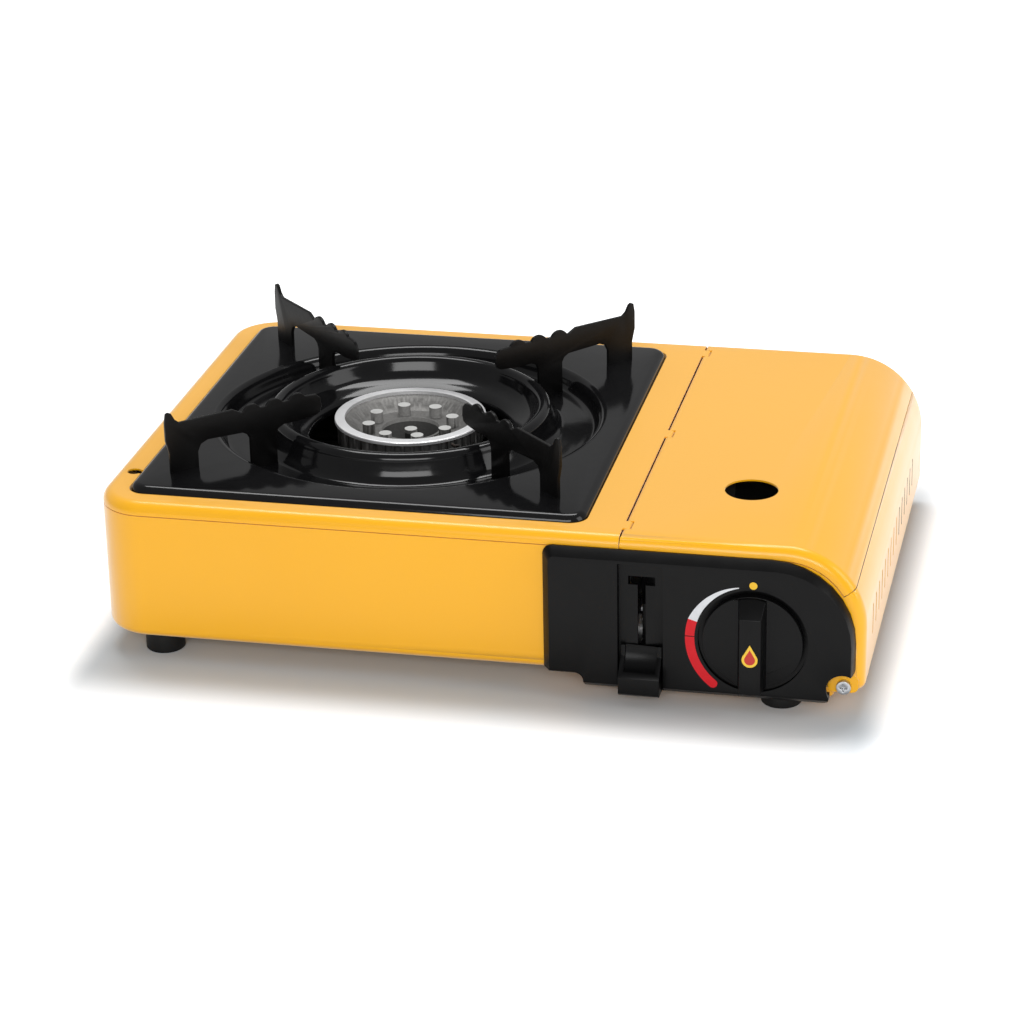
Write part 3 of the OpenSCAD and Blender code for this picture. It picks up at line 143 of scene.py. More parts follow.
class Finish:
    """One material. add() makes any node, and colour, grain and relief are plugged into its shader."""

    def __init__(self, name, colour, roughness, metallic=0.0, coat=0.0, specular=0.5, sheen=0.0):
        self.material = bpy.data.materials.new(name)
        self.material.use_nodes = True
        self.material.diffuse_color = (*colour, 1)
        self.tree = self.material.node_tree
        self.shader = self.tree.nodes["Principled BSDF"]
        self.shader.inputs["Base Color"].default_value = (*colour, 1)
        self.shader.inputs["Roughness"].default_value = roughness
        self.shader.inputs["Metallic"].default_value = metallic
        self.shader.inputs["Coat Weight"].default_value = coat
        self.shader.inputs["Coat Roughness"].default_value = COAT_ROUGHNESS
        self.shader.inputs["Specular IOR Level"].default_value = specular
        self.shader.inputs["Sheen Weight"].default_value = sheen
        self.shader.inputs["Sheen Roughness"].default_value = SHEEN_ROUGHNESS
        self.place = self.add("TexCoord", out="Object")

    def add(self, kind, out=0, settings=None, stops=(), **values):
        """Any shader node: settings and a ramp's stops first, then the values or links of its sockets.

        A socket is called by its name, with _ for a space, or by its identifier where names repeat.
        """
        node = self.tree.nodes.new("ShaderNode" + kind)
        for key, value in (settings or {}).items():
            setattr(node, key, value)
        for number, (position, tint) in enumerate(stops):
            elements = node.color_ramp.elements
            stop = elements[number] if number < len(elements) else elements.new(position)
            stop.position, stop.color = position, tint
        for key, value in values.items():
            label = key.replace("_", " ")
            found = [s for s in node.inputs if s.name == label or s.identifier == key]
            inlet = [s for s in found if s.enabled][0]
            if isinstance(value, Signal):
                self.tree.links.new(value.socket, inlet)
            else:
                inlet.default_value = value
        return Signal(self.tree, node.outputs[out])

    def plug(self, name, signal):
        """Feeds one of the shader's own sockets."""
        self.tree.links.new(signal.socket, self.shader.inputs[name])

    def split(self, vector):
        """The three parts of a vector."""
        node = self.add("SeparateXYZ", Vector=vector).socket.node
        return [Signal(self.tree, outlet) for outlet in node.outputs]

    def noise(self, scale, detail=2.0):
        """Cloudy noise between 0 and 1, with scale in waves per metre."""
        return self.add("TexNoise", Vector=self.place, Scale=scale, Detail=detail)

    def clouds(self, scale, first, second, detail=2.0):
        """A colour that drifts between two tones in cloudy patches."""
        return self.add("ValToRGB", stops=[(0, first), (1, second)], Fac=self.noise(scale, detail))

    def blend(self, factor, first, second):
        """A colour that goes from first to second as factor goes from 0 to 1."""
        return self.add("Mix", out=2, settings={"data_type": "RGBA"}, Factor_Float=factor,
                        A_Color=first, B_Color=second)

    def relief(self, height, depth, strength=1.0):
        """Bumps the surface by height, which is worth depth metres."""
        self.plug("Normal", self.add("Bump", Height=height, Distance=depth, Strength=strength))


def shade(red, green, blue):
    """A colour from a paint chart's 0 to 255 scale, as the linear values that a shader reads."""
    def linear(value):
        part = value / 255
        return part / 12.92 if part <= 0.04045 else ((part + 0.055) / 1.055) ** 2.4
    return (linear(red), linear(green), linear(blue), 1.0)


print("middle grey is", round(shade(128, 128, 128)[0], 3), "in linear light")

# %% [markdown]
# ## The finishes
# The body is steel with a baked powder coat: it flows almost flat, but keeps a faint orange peel about a
# millimetre wide, and pools a little darker in places. A little sheen stands for the way the pigment
# scatters light. The tray's floor and inner walls are painted dark as painted shade, so a mask finds the
# faces that look inwards by their normals, and no second mesh is needed. The pan carries vitreous enamel,
# which is glass and so very smooth, with slow waves, and the pot supports are dipped in a duller one. The
# controls are moulded in a black plastic with a fine spark-eroded texture. All this could be painted on
# pictures, but noise that is set in the piece's own metres needs no unwrapping, and its grain has the real
# size on a small foot and on the wide lid alike.

# %% Powder coat
# INSIDE_SHADE is painted shade for the tray's floor and inner walls.
PAINT_A, PAINT_B, INSIDE_SHADE = shade(248, 180, 4), shade(243, 174, 1), shade(26, 25, 24)
FLOOR_TOP, LIP_FOOT = 12.4 * MM, 65 * MM
FACES_UP, FACES_IN = 0.3, -0.02
ORANGE_PEEL = 0.02 * MM


def powder_coat(name, shaded_inside):
    """Yellow powder coat. Where shaded_inside is set, the tray's floor and inner walls are painted dark as
    painted shade.
    """
    coat = Finish(name, shade(245, 177, 3)[:3], 0.3, coat=0.2, specular=0.4, sheen=0.42)
    paint = coat.clouds(9, PAINT_A, PAINT_B)
    if shaded_inside:
        x, y, z = coat.split(coat.place)
        face_x, face_y, face_z = coat.split(coat.add("NewGeometry", out="Normal"))
        on_floor = (face_z > FACES_UP) * (z < FLOOR_TOP)
        inward = ((x * face_x + y * face_y) < FACES_IN) * (z < LIP_FOOT)
        # The tray's floor and inner walls take the painted shade.
        paint = coat.blend(on_floor + inward > 0.5, paint, INSIDE_SHADE)
    coat.plug("Base Color", paint)
    coat.plug("Roughness", 0.27 + 0.1 * coat.noise(55, 3))
    coat.relief(coat.noise(620, 1), ORANGE_PEEL)
    return coat


coat = powder_coat("yellow_powder_coat", False)
# This coat paints the tray's floor and inner walls dark, as painted shade.
tray_coat = powder_coat("yellow_tray_coat", True)
print("the powder coat covers the outside; the tray's inner faces keep their dark primer")

# %% Vitreous enamel
enamel = Finish("black_enamel", shade(15, 15, 16)[:3], 0.1, specular=0.3)
enamel.plug("Base Color", enamel.clouds(300, shade(11, 11, 12), shade(18, 18, 19)))
enamel.plug("Roughness", 0.07 + 0.09 * enamel.noise(70, 4))
enamel.relief(enamel.noise(130, 2), 0.03 * MM)

dipped = Finish("dipped_enamel", shade(7, 7, 7)[:3], 0.36, specular=0.17)
dipped.plug("Base Color", dipped.clouds(160, shade(4, 4, 4), shade(11, 10, 10), 4))
dipped.plug("Roughness", 0.3 + 0.16 * dipped.noise(95, 4))
dipped.relief(dipped.noise(520, 3), 0.04 * MM)
print("the pan is glossy, and the pot supports are duller")

# %% Black plastic
SPARK_GRAIN = 1900
satin = Finish("black_satin_plastic", shade(7, 7, 7)[:3], 0.34, specular=0.15)
satin.plug("Base Color", satin.clouds(90, shade(5, 5, 6), shade(9, 9, 9)))
satin.plug("Roughness", 0.3 + 0.12 * satin.noise(160, 3))
satin.relief(satin.noise(SPARK_GRAIN, 2), 0.02 * MM)
print("the plastic's grain repeats about every", round(1 / SPARK_GRAIN / MM, 2), "mm")

# %% [markdown]
# ## Metals
# The burner's head is die-cast aluminium with a sandy skin that is darker where the mould was rough. The
# upward faces of the posts' tops are painted bright as a painted highlight, and painted shade darkens the
# central hole and the ribs outside, in the gap around the ring. These regions are found by their distance
# from the burner's axis and their height, and joined as masks. The ring is turned bright: the tool leaves
# fine grooves around the axis, so the grain follows the distance from that axis. The inner sheets and
# screws are zinc-plated steel, the jet and spindle are turned brass, and heat has darkened the electrode.
# Such marks could also be painted by hand, but distances stay exact wherever the burner stands.

# %% Cast aluminium
HOLE_R, HOLE_EDGE_Z, BOWL_R = 13.45, 68.5, 31.5
POST_REACH, POST_TOP_Z, CENTRE_REACH, CENTRE_TOP_Z = 22.8, 72, 4, 66
STANDS_UPRIGHT = 0.8
cast = Finish("cast_aluminium", shade(150, 150, 148)[:3], 0.5, metallic=0.6)
sand = cast.noise(900, 5)
skin = cast.blend(sand, shade(84, 83, 81), shade(128, 127, 125))
x, y, z = cast.split(cast.place)
from_axis = ((x - burner.x) * (x - burner.x) + (y - burner.y) * (y - burner.y)).root()
upright = cast.split(cast.add("NewGeometry", out="Normal"))[2] > STANDS_UPRIGHT
post_top = (z > POST_TOP_Z * MM) * (from_axis < POST_REACH * MM)
centre_top = (z > CENTRE_TOP_Z * MM) * (from_axis < CENTRE_REACH * MM)
# The upward faces of the post tops are lightened as a painted highlight.
lit_post_tops = upright * (post_top + centre_top > 0.5)
casting = cast.blend(lit_post_tops, skin, shade(196, 196, 194))
# The central hole and the ribs in the gap around the ring are darkened as painted shade.
in_hole = (from_axis < HOLE_R * MM) * (z < HOLE_EDGE_Z * MM)
outside = from_axis > BOWL_R * MM
hole_and_gap_shade = (in_hole * 0.8 + outside * 0.6).at_most(1.0)
cast.plug("Base Color", cast.blend(hole_and_gap_shade, casting, shade(20, 19, 18)))
cast.plug("Roughness", 0.45 + 0.2 * cast.noise(150, 3))
cast.relief(sand, 0.06 * MM)
print("the casting has bright posts within", POST_REACH, "mm of the axis")

# %% Turned aluminium
GROOVES_PER_METRE = 14000
turned = Finish("turned_aluminium", shade(240, 240, 241)[:3], 0.4, metallic=0.85)
centred = turned.add("VectorMath", settings={"operation": "SUBTRACT"}, Vector=turned.place, Vector_001=burner)
flat = turned.add("VectorMath", settings={"operation": "MULTIPLY"}, Vector=centred, Vector_001=(1, 1, 0))
reach = turned.add("VectorMath", out="Value", settings={"operation": "LENGTH"}, Vector=flat)
turned.plug("Roughness", 0.38 + 0.1 * turned.noise(240, 3))
turned.relief((reach * GROOVES_PER_METRE).sine(), 0.01 * MM, 0.5)
print("a groove every", round(2 * math.pi * 1000 / GROOVES_PER_METRE, 2), "mm")

# %% Plated steel, brass, rubber and ceramic
zinc = Finish("zinc_plated_steel", shade(182, 184, 188)[:3], 0.32, metallic=1.0)
zinc.plug("Base Color", zinc.clouds(35, shade(165, 168, 172), shade(196, 197, 199), 4))
zinc.plug("Roughness", 0.25 + 0.2 * zinc.noise(210, 4))

brass = Finish("turned_brass", shade(205, 167, 92)[:3], 0.25, metallic=1.0)
brass.plug("Roughness", 0.2 + 0.15 * brass.noise(260, 3))

rubber = Finish("black_rubber", shade(13, 13, 13)[:3], 0.6, specular=0.3)
rubber.plug("Base Color", rubber.clouds(120, shade(10, 10, 10), shade(17, 17, 17)))
rubber.relief(rubber.noise(900, 3), 0.05 * MM)

heated = Finish("heated_steel", shade(58, 54, 52)[:3], 0.4, metallic=1.0)
heated.plug("Base Color", heated.clouds(260, shade(42, 39, 40), shade(76, 66, 58), 3))
heated.plug("Roughness", 0.35 + 0.2 * heated.noise(180, 3))

glaze = Finish("white_ceramic", shade(236, 233, 224)[:3], 0.2, coat=0.4)
glaze.plug("Base Color", glaze.clouds(200, shade(231, 228, 217), shade(240, 238, 231)))
print(len(bpy.data.materials), "materials so far")

# %% [markdown]
# ## Rounding the frame's pieces
# Real sheet and mouldings have no razor edges: a thin rounding catches a line of light. The frame's meshes
# are loose triangles, so each piece that shows is copied, its doubles are merged, its flat areas are
# dissolved into single faces, and a bevel modifier rounds what is left. The copy then stands for the
# frame's own node. Drawing each rounding in the construction program would cost it many faces for a line of
# light that only matters here. The pressed shell is rolled in the frame already, so it is only shaded
# smoothly.

# %% Dress a node
MERGE_WITHIN, FLAT_WITHIN = 0.004 * MM, math.radians(0.4)


def lone(obj):
    """Selects one object and makes it active."""
    bpy.ops.object.select_all(action="DESELECT")
    obj.select_set(True)
    bpy.context.view_layer.objects.active = obj


def dress(node, body, finish, rounding=0.0, crease=30, segments=2):
    """A copy of a frame node with merged, rounded (in mm) and smoothly shaded faces, which stands for it."""
    source = nodes[node]
    piece = source.copy()
    piece.data = source.data.copy()
    piece.parent = None
    for key in list(piece.keys()):
        del piece[key]
    piece.name = node + "_finished"
    bpy.context.scene.collection.objects.link(piece)
    lone(piece)
    bpy.ops.object.mode_set(mode="EDIT")
    bpy.ops.mesh.select_all(action="SELECT")
    bpy.ops.mesh.remove_doubles(threshold=MERGE_WITHIN)
    bpy.ops.mesh.dissolve_limited(angle_limit=FLAT_WITHIN)
    bpy.ops.object.mode_set(mode="OBJECT")
    if rounding:
        bevel = piece.modifiers.new("rounding", "BEVEL")
        bevel.width = rounding * MM
        bevel.segments = segments
        bevel.limit_method = "ANGLE"
        bevel.angle_limit = math.radians(crease)
        bpy.ops.object.modifier_apply(modifier=bevel.name)
    bpy.ops.object.shade_smooth_by_angle(angle=math.radians(crease))
    piece.data.materials.clear()
    piece.data.materials.append(finish.material)
    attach(piece, body)
    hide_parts(node)
    return piece


shell = [dress(node, body, finish, crease=28)
         for node, body, finish in (("lower_body", "stove", tray_coat), ("top_plate", "stove", coat),
                                    ("lid", "lid", coat))]
print("the shell has", sum(len(p.data.polygons) for p in shell), "faces")

# %% Dress the controls
controls = [dress(node, body, satin, rounding, crease, segments=3)
            for node, body, rounding, crease in (("control_panel", "stove", 0.35, 24),
                                                 ("knob", "knob", 0.5, 32),
                                                 ("lever_paddle", "lever", 0.4, 32))]
print("panel, knob and paddle have", sum(len(p.data.polygons) for p in controls), "faces")

# %% Dress the feet and the pot supports
CORNERS = ("front_left", "front_right", "back_left", "back_right")
for corner in CORNERS:
    dress("foot_" + corner, "stove", rubber, rounding=0.6, crease=40, segments=3)
for corner in CORNERS:
    blade = dress("pot_support_" + corner, "pan", dipped, rounding=0.3, crease=40, segments=3)
print("each support has", len(blade.data.polygons), "faces")

# %% Dress the burner
head = dress("burner_head", "stove", cast, rounding=0.25, crease=35)
dress("burner_ring", "stove", turned)
dress("corner_screw", "stove", zinc, rounding=0.15, crease=35)
print("the burner's head has", len(head.data.polygons), "faces")

# %% [markdown]
# ## Pieces that stay as they are
# The gas train, the igniter, the lever's plate and the rests lie inside, seen through slots or with the lid
# up. They could be rounded too, but at that distance it wouldn't show, so they only take a finish. The
# plate and its guide are painted black as painted shade, so nothing bright shows through the lever's slot.

# %% Finish the hidden pieces
PLAIN = {
    zinc: ["partition", "hinge_pin", "burner_bracket", "bracket_screws", "regulator_cap", "regulator_screws",
           "electrode_arm", "cartridge_collar", "cartridge_rests", "link_guides", "foot_screws",
           "igniter_plunger", "link_bar", "cartridge_pusher"],
    cast: ["burner_base", "regulator_body"],
    turned: ["mixing_tube"],
    brass: ["jet_nozzle", "valve_spindle"],
    rubber: ["igniter_wire", "inlet_seal"],
    # The lever's plate and guide are painted black as painted shade, so the slot reads dark.
    satin: ["igniter_body", "igniter_cam", "lever_plate", "lever_guide"],
    glaze: ["electrode_insulator"],
    heated: ["electrode_tip"],
}
for finish, names in PLAIN.items():
    for name in names:
        nodes[name].data.materials.clear()
        nodes[name].data.materials.append(finish.material)
print(sum(len(names) for names in PLAIN.values()), "inner pieces are finished")

# %% [markdown]
# ## The pan
# The pan is one sheet, pressed and enamelled, so it has no corner anywhere: the flat rim rolls down at its
# edge, a round well sinks around the burner and a collar rises in it against the wind. A subdivided box
# would pinch where square meets round. So a curve through the section's turning points is spun around the
# burner's axis, and the square rim is bridged to it. Solidify gives the sheet its thickness.

# %% Draw the section
PAN_Z = 77
EDGE_OF_WELL = [(91.6, PAN_Z), (90, 76.75), (88.7, 75.9), (86.7, 71.6), (85.6, 70.2), (84, 69.55)]
FLOOR_OF_WELL = [(80, 69.5), (72, 69.5), (70.2, 69.75), (68.4, 70.8), (67, 72.3), (65.9, 74.4)]
WIND_COLLAR = [(65.1, 76.8), (64.4, 79.2), (63.9, 81.1), (62.6, 82.15), (61, 82.15), (59.7, 81.1)]
BURNER_HOLE = [(59, 79.4), (57, 75.2), (55.5, 73.7), (48.9, 70.35), (47.8, 69.2), (47.4, 66.9)]
SECTION = EDGE_OF_WELL + FLOOR_OF_WELL + WIND_COLLAR + BURNER_HOLE
bpy.ops.object.select_all(action="DESELECT")
bpy.ops.curve.primitive_bezier_curve_add()
section = bpy.context.object
section.data.splines.clear()
line = section.data.splines.new("BEZIER")
line.bezier_points.add(len(SECTION) - 1)
for point, (radius, height) in zip(line.bezier_points, SECTION):
    point.co = burner + Vector((radius * MM, 0, height * MM))
    point.handle_left_type = point.handle_right_type = "AUTO"
section.data.resolution_u = 4
bpy.ops.object.convert(target="MESH")
pan = bpy.context.object
pan.name = "pan_sheet"
print("the section has", len(pan.data.vertices), "points, from radius and height in millimetres")

# %% Spin the pressed rings
bpy.ops.object.mode_set(mode="EDIT")
bpy.ops.mesh.select_all(action="SELECT")
bpy.ops.mesh.spin(steps=144, angle=2 * math.pi, center=burner, axis=(0, 0, 1))
bpy.ops.object.mode_set(mode="OBJECT")
print("the spun rings have", len(pan.data.polygons), "faces")


# %% Pick edges by their place
def pick_edges(obj, wanted):
    """In edit mode, selects the edges whose two ends both satisfy wanted(point)."""
    bpy.ops.mesh.select_mode(type="EDGE")
    sheet = bmesh.from_edit_mesh(obj.data)
    for edge in sheet.edges:
        edge.select_set(all(wanted(v.co) for v in edge.verts))
    bmesh.update_edit_mesh(obj.data)
    return sum(edge.select for edge in sheet.edges)


# %% Add the square rim
CORNER_R, WELL_R, HAIR = 8 * MM, 91.4 * MM, 0.02 * MM
low, high = spot(13.8, 12.8, PAN_Z), spot(216.7, 224.2, PAN_Z)
centre, size = (low + high) / 2, high - low
flat_rim = PAN_Z * MM - HAIR
lone(pan)
bpy.ops.object.mode_set(mode="EDIT")
bpy.ops.mesh.select_all(action="DESELECT")
bpy.ops.mesh.primitive_plane_add(size=1, location=centre)
bpy.ops.transform.resize(value=(size.x, size.y, 1), center_override=centre)
bpy.ops.mesh.bevel(offset=CORNER_R, segments=10, affect="VERTICES")
bpy.ops.mesh.delete(type="ONLY_FACE")
bridged = pick_edges(pan, lambda p: p.z > flat_rim and (p - burner).xy.length > WELL_R)
bpy.ops.mesh.bridge_edge_loops()
print(bridged, "edges bound the flat rim")

# %% Roll the rim down
CORNER_REACH, LIP, ROLL_R, TOUCH = 140 * MM, 4.9 * MM, 3 * MM, 0.01 * MM


def on_outline(p):
    """True on the rim's straight sides, and near its corners."""
    return (min(abs(p.x - low.x), abs(p.x - high.x)) < TOUCH or
            min(abs(p.y - low.y), abs(p.y - high.y)) < TOUCH or
            (p - centre).length > CORNER_REACH)


pick_edges(pan, lambda p: p.z > flat_rim and on_outline(p))
bpy.ops.mesh.extrude_region_move(TRANSFORM_OT_translate={"value": (0, 0, -LIP)})
pick_edges(pan, lambda p: p.z > flat_rim and on_outline(p))
bpy.ops.mesh.bevel(offset=ROLL_R, segments=6, affect="EDGES")
bpy.ops.mesh.select_all(action="SELECT")
bpy.ops.mesh.normals_make_consistent(inside=False)
bpy.ops.object.mode_set(mode="OBJECT")
top = max(pan.data.polygons, key=lambda face: face.area)
print("the widest face looks", "up" if top.normal.z > 0 else "down")
if top.normal.z < 0:
    pan.data.flip_normals()

# %% Give the sheet its thickness
SHEET = 0.8 * MM
wall = pan.modifiers.new("thickness", "SOLIDIFY")
wall.thickness = SHEET
wall.offset = -1
lone(pan)
bpy.ops.object.modifier_apply(modifier=wall.name)
bpy.ops.object.shade_smooth_by_angle(angle=math.radians(40))
pan.data.materials.append(enamel.material)
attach(pan, "pan")
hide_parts("drip_pan")
print("the pan has", len(pan.data.polygons), "faces")

# %% [markdown]
# ## The printed dial
# Around the knob the panel is printed: a scale that runs from a thin white line near the off mark to a wide
# red band at full flame, and a yellow dot for off. A picture could carry the print, but it would blur close
# up. So each mark is a thin flat mesh, bent from a grid or a circle and extruded, that stands a few
# hundredths of a millimetre proud of the panel. Marks that cross lie a hair above each other.

# %% Printing inks
def ink(name, thin, full, specular=0.5):
    """Screen ink, which covers a little unevenly between a thin and a full tone."""
    middle = [(one + other) / 2 for one, other in zip(thin, full)]
    mark = Finish(name, shade(*middle)[:3], 0.4, specular=specular)
    mark.plug("Base Color", mark.clouds(400, shade(*thin), shade(*full)))
    return mark


ink_red = ink("red_ink", (200, 16, 30), (212, 28, 38), specular=0.25)
ink_yellow = ink("yellow_ink", (231, 180, 24), (240, 192, 38))
ink_white = ink("white_ink", (206, 208, 212), (222, 224, 227))
print("three inks are mixed")

# %% Lay a mark on the panel
PANEL_Y, PROUD, INK_DEPTH = -6, 0.03, 0.05


def lay(mark, name, finish):
    """Gives a flat mark its thickness, its ink and its place on the stove."""
    mark.name = name
    lone(mark)
    bpy.ops.object.mode_set(mode="EDIT")
    bpy.ops.mesh.select_all(action="SELECT")
    bpy.ops.mesh.extrude_region_move(TRANSFORM_OT_translate={"value": (0, INK_DEPTH * MM, 0)})
    bpy.ops.mesh.select_all(action="SELECT")
    bpy.ops.mesh.normals_make_consistent(inside=False)
    bpy.ops.object.mode_set(mode="OBJECT")
    mark.data.materials.append(finish.material)
    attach(mark, "stove")
    print(name, "has", len(mark.data.polygons), "faces")


# %% Bend a grid into an arc
INNER, OUTER, WIDE = 24.9, 25.3, 28.9
SCALE_START, RED_START, SCALE_END = 104, 162.7, 231
TICK_START, TICK_END, OVERHANG = 178.6, 179.4, 0.05


def arc_mark(name, finish, start, end, inner, outer_start, outer_end, steps=40, raised=0.0):
    """A printed band around the knob's axis between two angles in degrees, seen from the front."""
    lift = knob_axis + Vector((0, (PANEL_Y - PROUD - raised) * MM, 0))
    bpy.ops.object.select_all(action="DESELECT")
    bpy.ops.mesh.primitive_grid_add(x_subdivisions=steps, y_subdivisions=1, size=2, location=(0, 0, 0))
    band = bpy.context.object
    for vertex in band.data.vertices:
        along = (vertex.co.x + 1) / 2
        angle = math.radians(start + (end - start) * along)
        outer = outer_start + (outer_end - outer_start) * along
        radius = (outer if vertex.co.y > 0 else inner) * MM
        vertex.co = lift + Vector((radius * math.cos(angle), 0, radius * math.sin(angle)))
    lay(band, name, finish)


arc_mark("scale_low", ink_white, SCALE_START, RED_START, INNER, OUTER, WIDE)
arc_mark("scale_high", ink_red, RED_START, SCALE_END, INNER, WIDE, WIDE)
arc_mark("scale_tick", satin, TICK_START, TICK_END, INNER - OVERHANG, WIDE + OVERHANG, WIDE + OVERHANG,
         steps=3, raised=0.02)
print("the scale runs over", SCALE_END - SCALE_START, "degrees")


# %% Print the dots
def dot_mark(name, finish, angle, distance, radius, raised=0.0):
    """A printed dot at an angle and a distance in millimetres from the knob's axis."""
    turn = math.radians(angle)
    aside = Vector((math.cos(turn) * distance, PANEL_Y - PROUD - raised, math.sin(turn) * distance)) * MM
    bpy.ops.object.select_all(action="DESELECT")
    bpy.ops.mesh.primitive_circle_add(vertices=32, radius=radius * MM, fill_type="NGON",
                                      location=knob_axis + aside, rotation=(math.pi / 2, 0, 0))
    bpy.ops.object.transform_apply(location=True, rotation=True, scale=True)
    lay(bpy.context.object, name, finish)


dot_mark("off_dot", ink_yellow, 90, distance=25.8, radius=1.7)
dot_mark("scale_end", ink_red, SCALE_END, (INNER + WIDE) / 2, (WIDE - INNER) / 2, raised=0.01)
print("a yellow dot marks off, and the red band has a round end")

# %% [markdown]
# ## The knob's drop
# A drop let into the grip tells where the knob points. It is one small moulding with a yellow border and a
# red heart. The heart could be a second solid, but drawn by a rule in the finish its border keeps an even
# width. It is the same drop again, smaller: below the two points where the straight flanks touch the circle
# the rule is the distance from the circle's centre, and above them the distance from the flank.

# %% Colour the drop
DROP_R, DROP_TIP, DROP_Z, HEART = 3.4 * MM, 6.9 * MM, 4.4 * MM, 0.68
drop = Finish("drop_inlay", shade(236, 186, 30)[:3], 0.35)
x, _, z = drop.split(drop.place)
across = (x - knob_axis.x).from_zero()
upward = z - (knob_axis.z - DROP_Z)
flank = math.asin(DROP_R / DROP_TIP)
on_flank = (upward * math.cos(flank) - across * math.sin(flank)) > 0
from_flank = across * math.cos(flank) + upward * math.sin(flank)
from_centre = (across * across + upward * upward).root()
outwards = from_flank * on_flank + from_centre * (1 - on_flank)
heart = outwards < DROP_R * HEART
drop.plug("Base Color", drop.blend(heart, shade(236, 192, 50), shade(184, 36, 18)))
nodes["knob_pointer"].data.materials.clear()
nodes["knob_pointer"].data.materials.append(drop.material)
print("the drop's border is", round(DROP_R * (1 - HEART) / MM, 2), "mm wide")

# %% [markdown]
# ## Floor and light
# The stove stands on a seamless pale floor. A brighter room could turn it white, but would wash out the
# stove. So the floor glows by itself, away from the stove, and only for the camera and for reflections,
# which Light Path tells apart. Near the stove it keeps its true shade and so its contact shadow, and its
# paint there is a little darker as well, a painted shadow. It is also painted bluer except in front of the
# black panel, to cancel the warm light that the yellow wall throws on it. Both masks come from the distance
# to the body's rectangle. Towards the horizon, where the lamps hardly reach, the floor glows more.

# %% Measure the floor from the stove
HALF_W, HALF_D, SIDE_FADE, PANEL_X = 0.168, 0.12, 2.8, spot(264, 0, 0).x
floor_paint = Finish("floor_paint", (0.9, 0.9, 0.9), 0.9, specular=0.0)


def beyond(along, half):
    """How far a floor point lies outside the body's rectangle along one axis, in metres."""
    return (along.from_zero() - half).at_least(0.0)


def fade(distance, start, end, smooth=True):
    """Goes from 0 to 1 as the distance grows from start to end, in metres."""
    settings = {"interpolation_type": "SMOOTHSTEP" if smooth else "LINEAR"}
    return floor_paint.add("MapRange", settings=settings, Value=distance, From_Min=start, From_Max=end)


x, y, _ = floor_paint.split(floor_paint.place)
out_x, out_y = beyond(x, HALF_W), beyond(y, HALF_D)
away = (out_x * out_x * SIDE_FADE ** 2 + out_y * out_y).root()
print("beside the stove the floor's tone fades", SIDE_FADE, "times as fast as in front of it")

# %% Paint the floor
# Near the stove the floor's paint is a painted shadow: darker, and bluer away from the panel to cancel the
# yellow wall's warm light.
SHADOW_BY_PANEL, SHADOW_BY_WALL, FARTHER = shade(218, 217, 216), shade(204, 211, 217), shade(243, 243, 243)
NO_GLOW, GLOW, HORIZON_GLOW = (0, 0, 0, 1), (0.45, 0.45, 0.45, 1), (0.65, 0.65, 0.65, 1)
by_paint = fade((x - PANEL_X).from_zero(), 0.045, 0.08)
shadow_tone = floor_paint.blend(by_paint, SHADOW_BY_PANEL, SHADOW_BY_WALL)
floor_paint.plug("Base Color", floor_paint.blend(fade(away, 0, 0.075), shadow_tone, FARTHER))
to_camera, to_gloss, to_glass = [floor_paint.add("LightPath", out="Is " + ray + " Ray")
                                 for ray in ("Camera", "Glossy", "Transmission")]
seen = (to_camera + to_gloss + to_glass).at_most(1.0)
added = floor_paint.blend(fade(away, 0.6, 3, smooth=False), GLOW, HORIZON_GLOW)
floor_paint.plug("Emission Color", floor_paint.blend(seen * fade(away, 0, 0.052), NO_GLOW, added))
floor_paint.shader.inputs["Emission Strength"].default_value = 1
print("the floor glows", GLOW[0], "near the stove's shadow and", HORIZON_GLOW[0], "far away")

# %% Lay the floor
bpy.ops.object.select_all(action="DESELECT")
bpy.ops.mesh.primitive_plane_add(size=12, location=(0, 0, 0))
floor = bpy.context.object
floor.name = "studio_floor"
floor.data.materials.append(floor_paint.material)
print("the floor is", round(floor.dimensions.x), "m wide")

# %% Light the room
world = bpy.data.worlds.new("studio")
bpy.context.scene.world = world
world.use_nodes = True
sky = world.node_tree.nodes["Background"]
sky.inputs["Color"].default_value = (1, 1, 1, 1)
sky.inputs["Strength"].default_value = 0.34


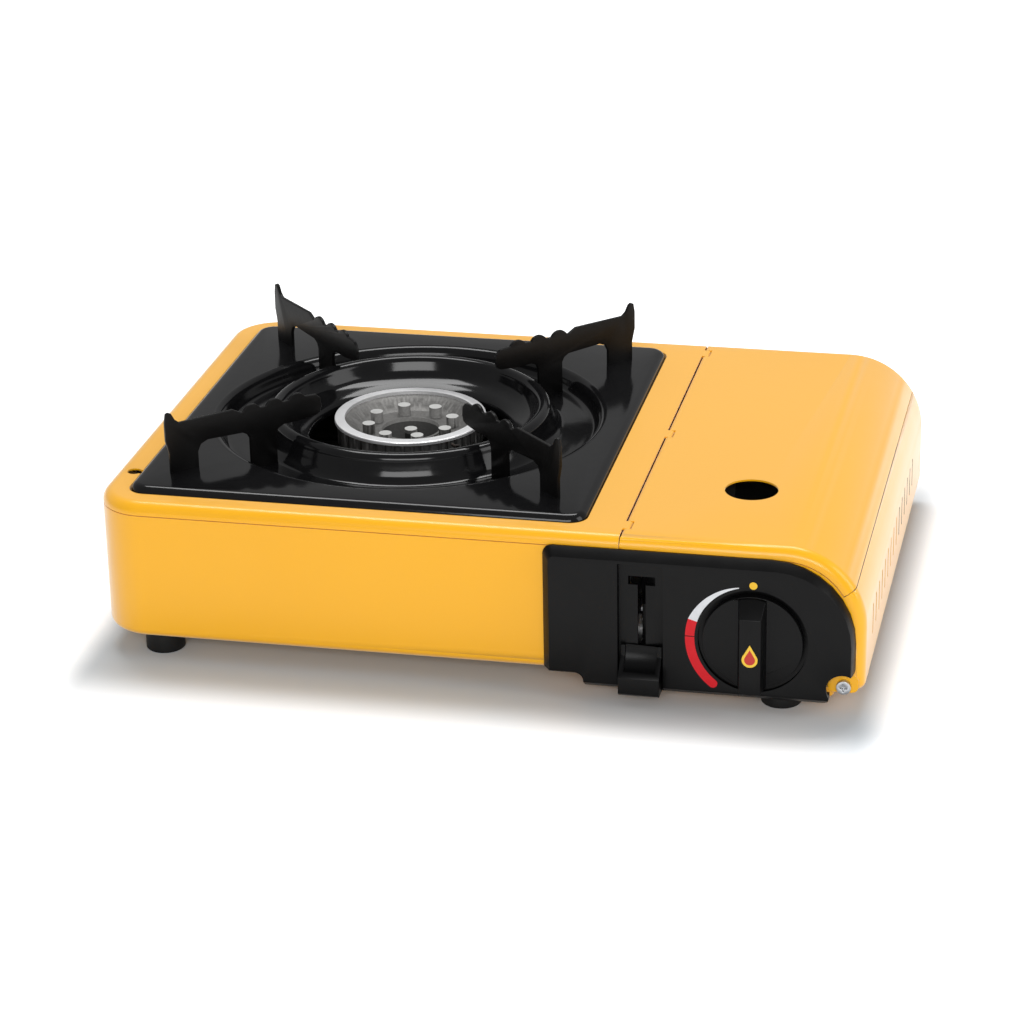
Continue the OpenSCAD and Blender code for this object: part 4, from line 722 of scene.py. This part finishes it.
def softbox(name, place, target, width, depth, power):
    """A soft rectangular lamp that looks at a point, sized in metres and powered in watts."""
    lamp = bpy.data.lights.new(name, "AREA")
    lamp.shape = "RECTANGLE"
    lamp.size, lamp.size_y, lamp.energy = width, depth, power
    holder = bpy.data.objects.new(name, lamp)
    bpy.context.scene.collection.objects.link(holder)
    holder.location = place
    holder.rotation_euler = (Vector(target) - Vector(place)).to_track_quat("-Z", "Y").to_euler()


softbox("lamp_top", (-0.1, 0.5, 1.5), (0, 0, 0), width=1.2, depth=0.5, power=16.5)
softbox("lamp_front", (0.3, -2.0, 0.9), (0, 0, 0.05), width=1.4, depth=0.7, power=21.5)
softbox("lamp_right", (1.6, -0.2, 0.7), (0, 0, 0.05), width=0.8, depth=1.2, power=8.5)
print("three softboxes and a pale room")

# %% [markdown]
# ## Camera
# A long lens from the right of centre and above keeps the stove's edges nearly parallel. The camera could
# be aimed at a point, but that leaves out its roll. So its turn is written as three angles, and the roll of
# about one degree can be read as well.

# %% Set the camera
YAW, PITCH, ROLL = math.radians(12.63), math.radians(23.13), math.radians(-1.13)
STAND, LENS, SENSOR = spot(466.66, -1239.62, 626.05), 114.75, 36
camera_data = bpy.data.cameras.new("studio_camera")
camera_data.lens = LENS
camera_data.sensor_width = SENSOR
camera_data.sensor_fit = "HORIZONTAL"
camera = bpy.data.objects.new("studio_camera", camera_data)
bpy.context.scene.collection.objects.link(camera)
back = Vector((math.sin(YAW) * math.cos(PITCH), -math.cos(YAW) * math.cos(PITCH), math.sin(PITCH)))
right = Vector((math.cos(YAW), math.sin(YAW), 0))
up = back.cross(right)
right_rolled = math.cos(ROLL) * right + math.sin(ROLL) * up
up_rolled = math.cos(ROLL) * up - math.sin(ROLL) * right
turn = Matrix((right_rolled, up_rolled, back)).transposed().to_4x4()
camera.matrix_world = Matrix.Translation(STAND) @ turn
bpy.context.scene.camera = camera
bpy.context.scene.view_settings.view_transform = "Standard"
print("the camera stands", round(STAND.length, 2), "m from the stove")
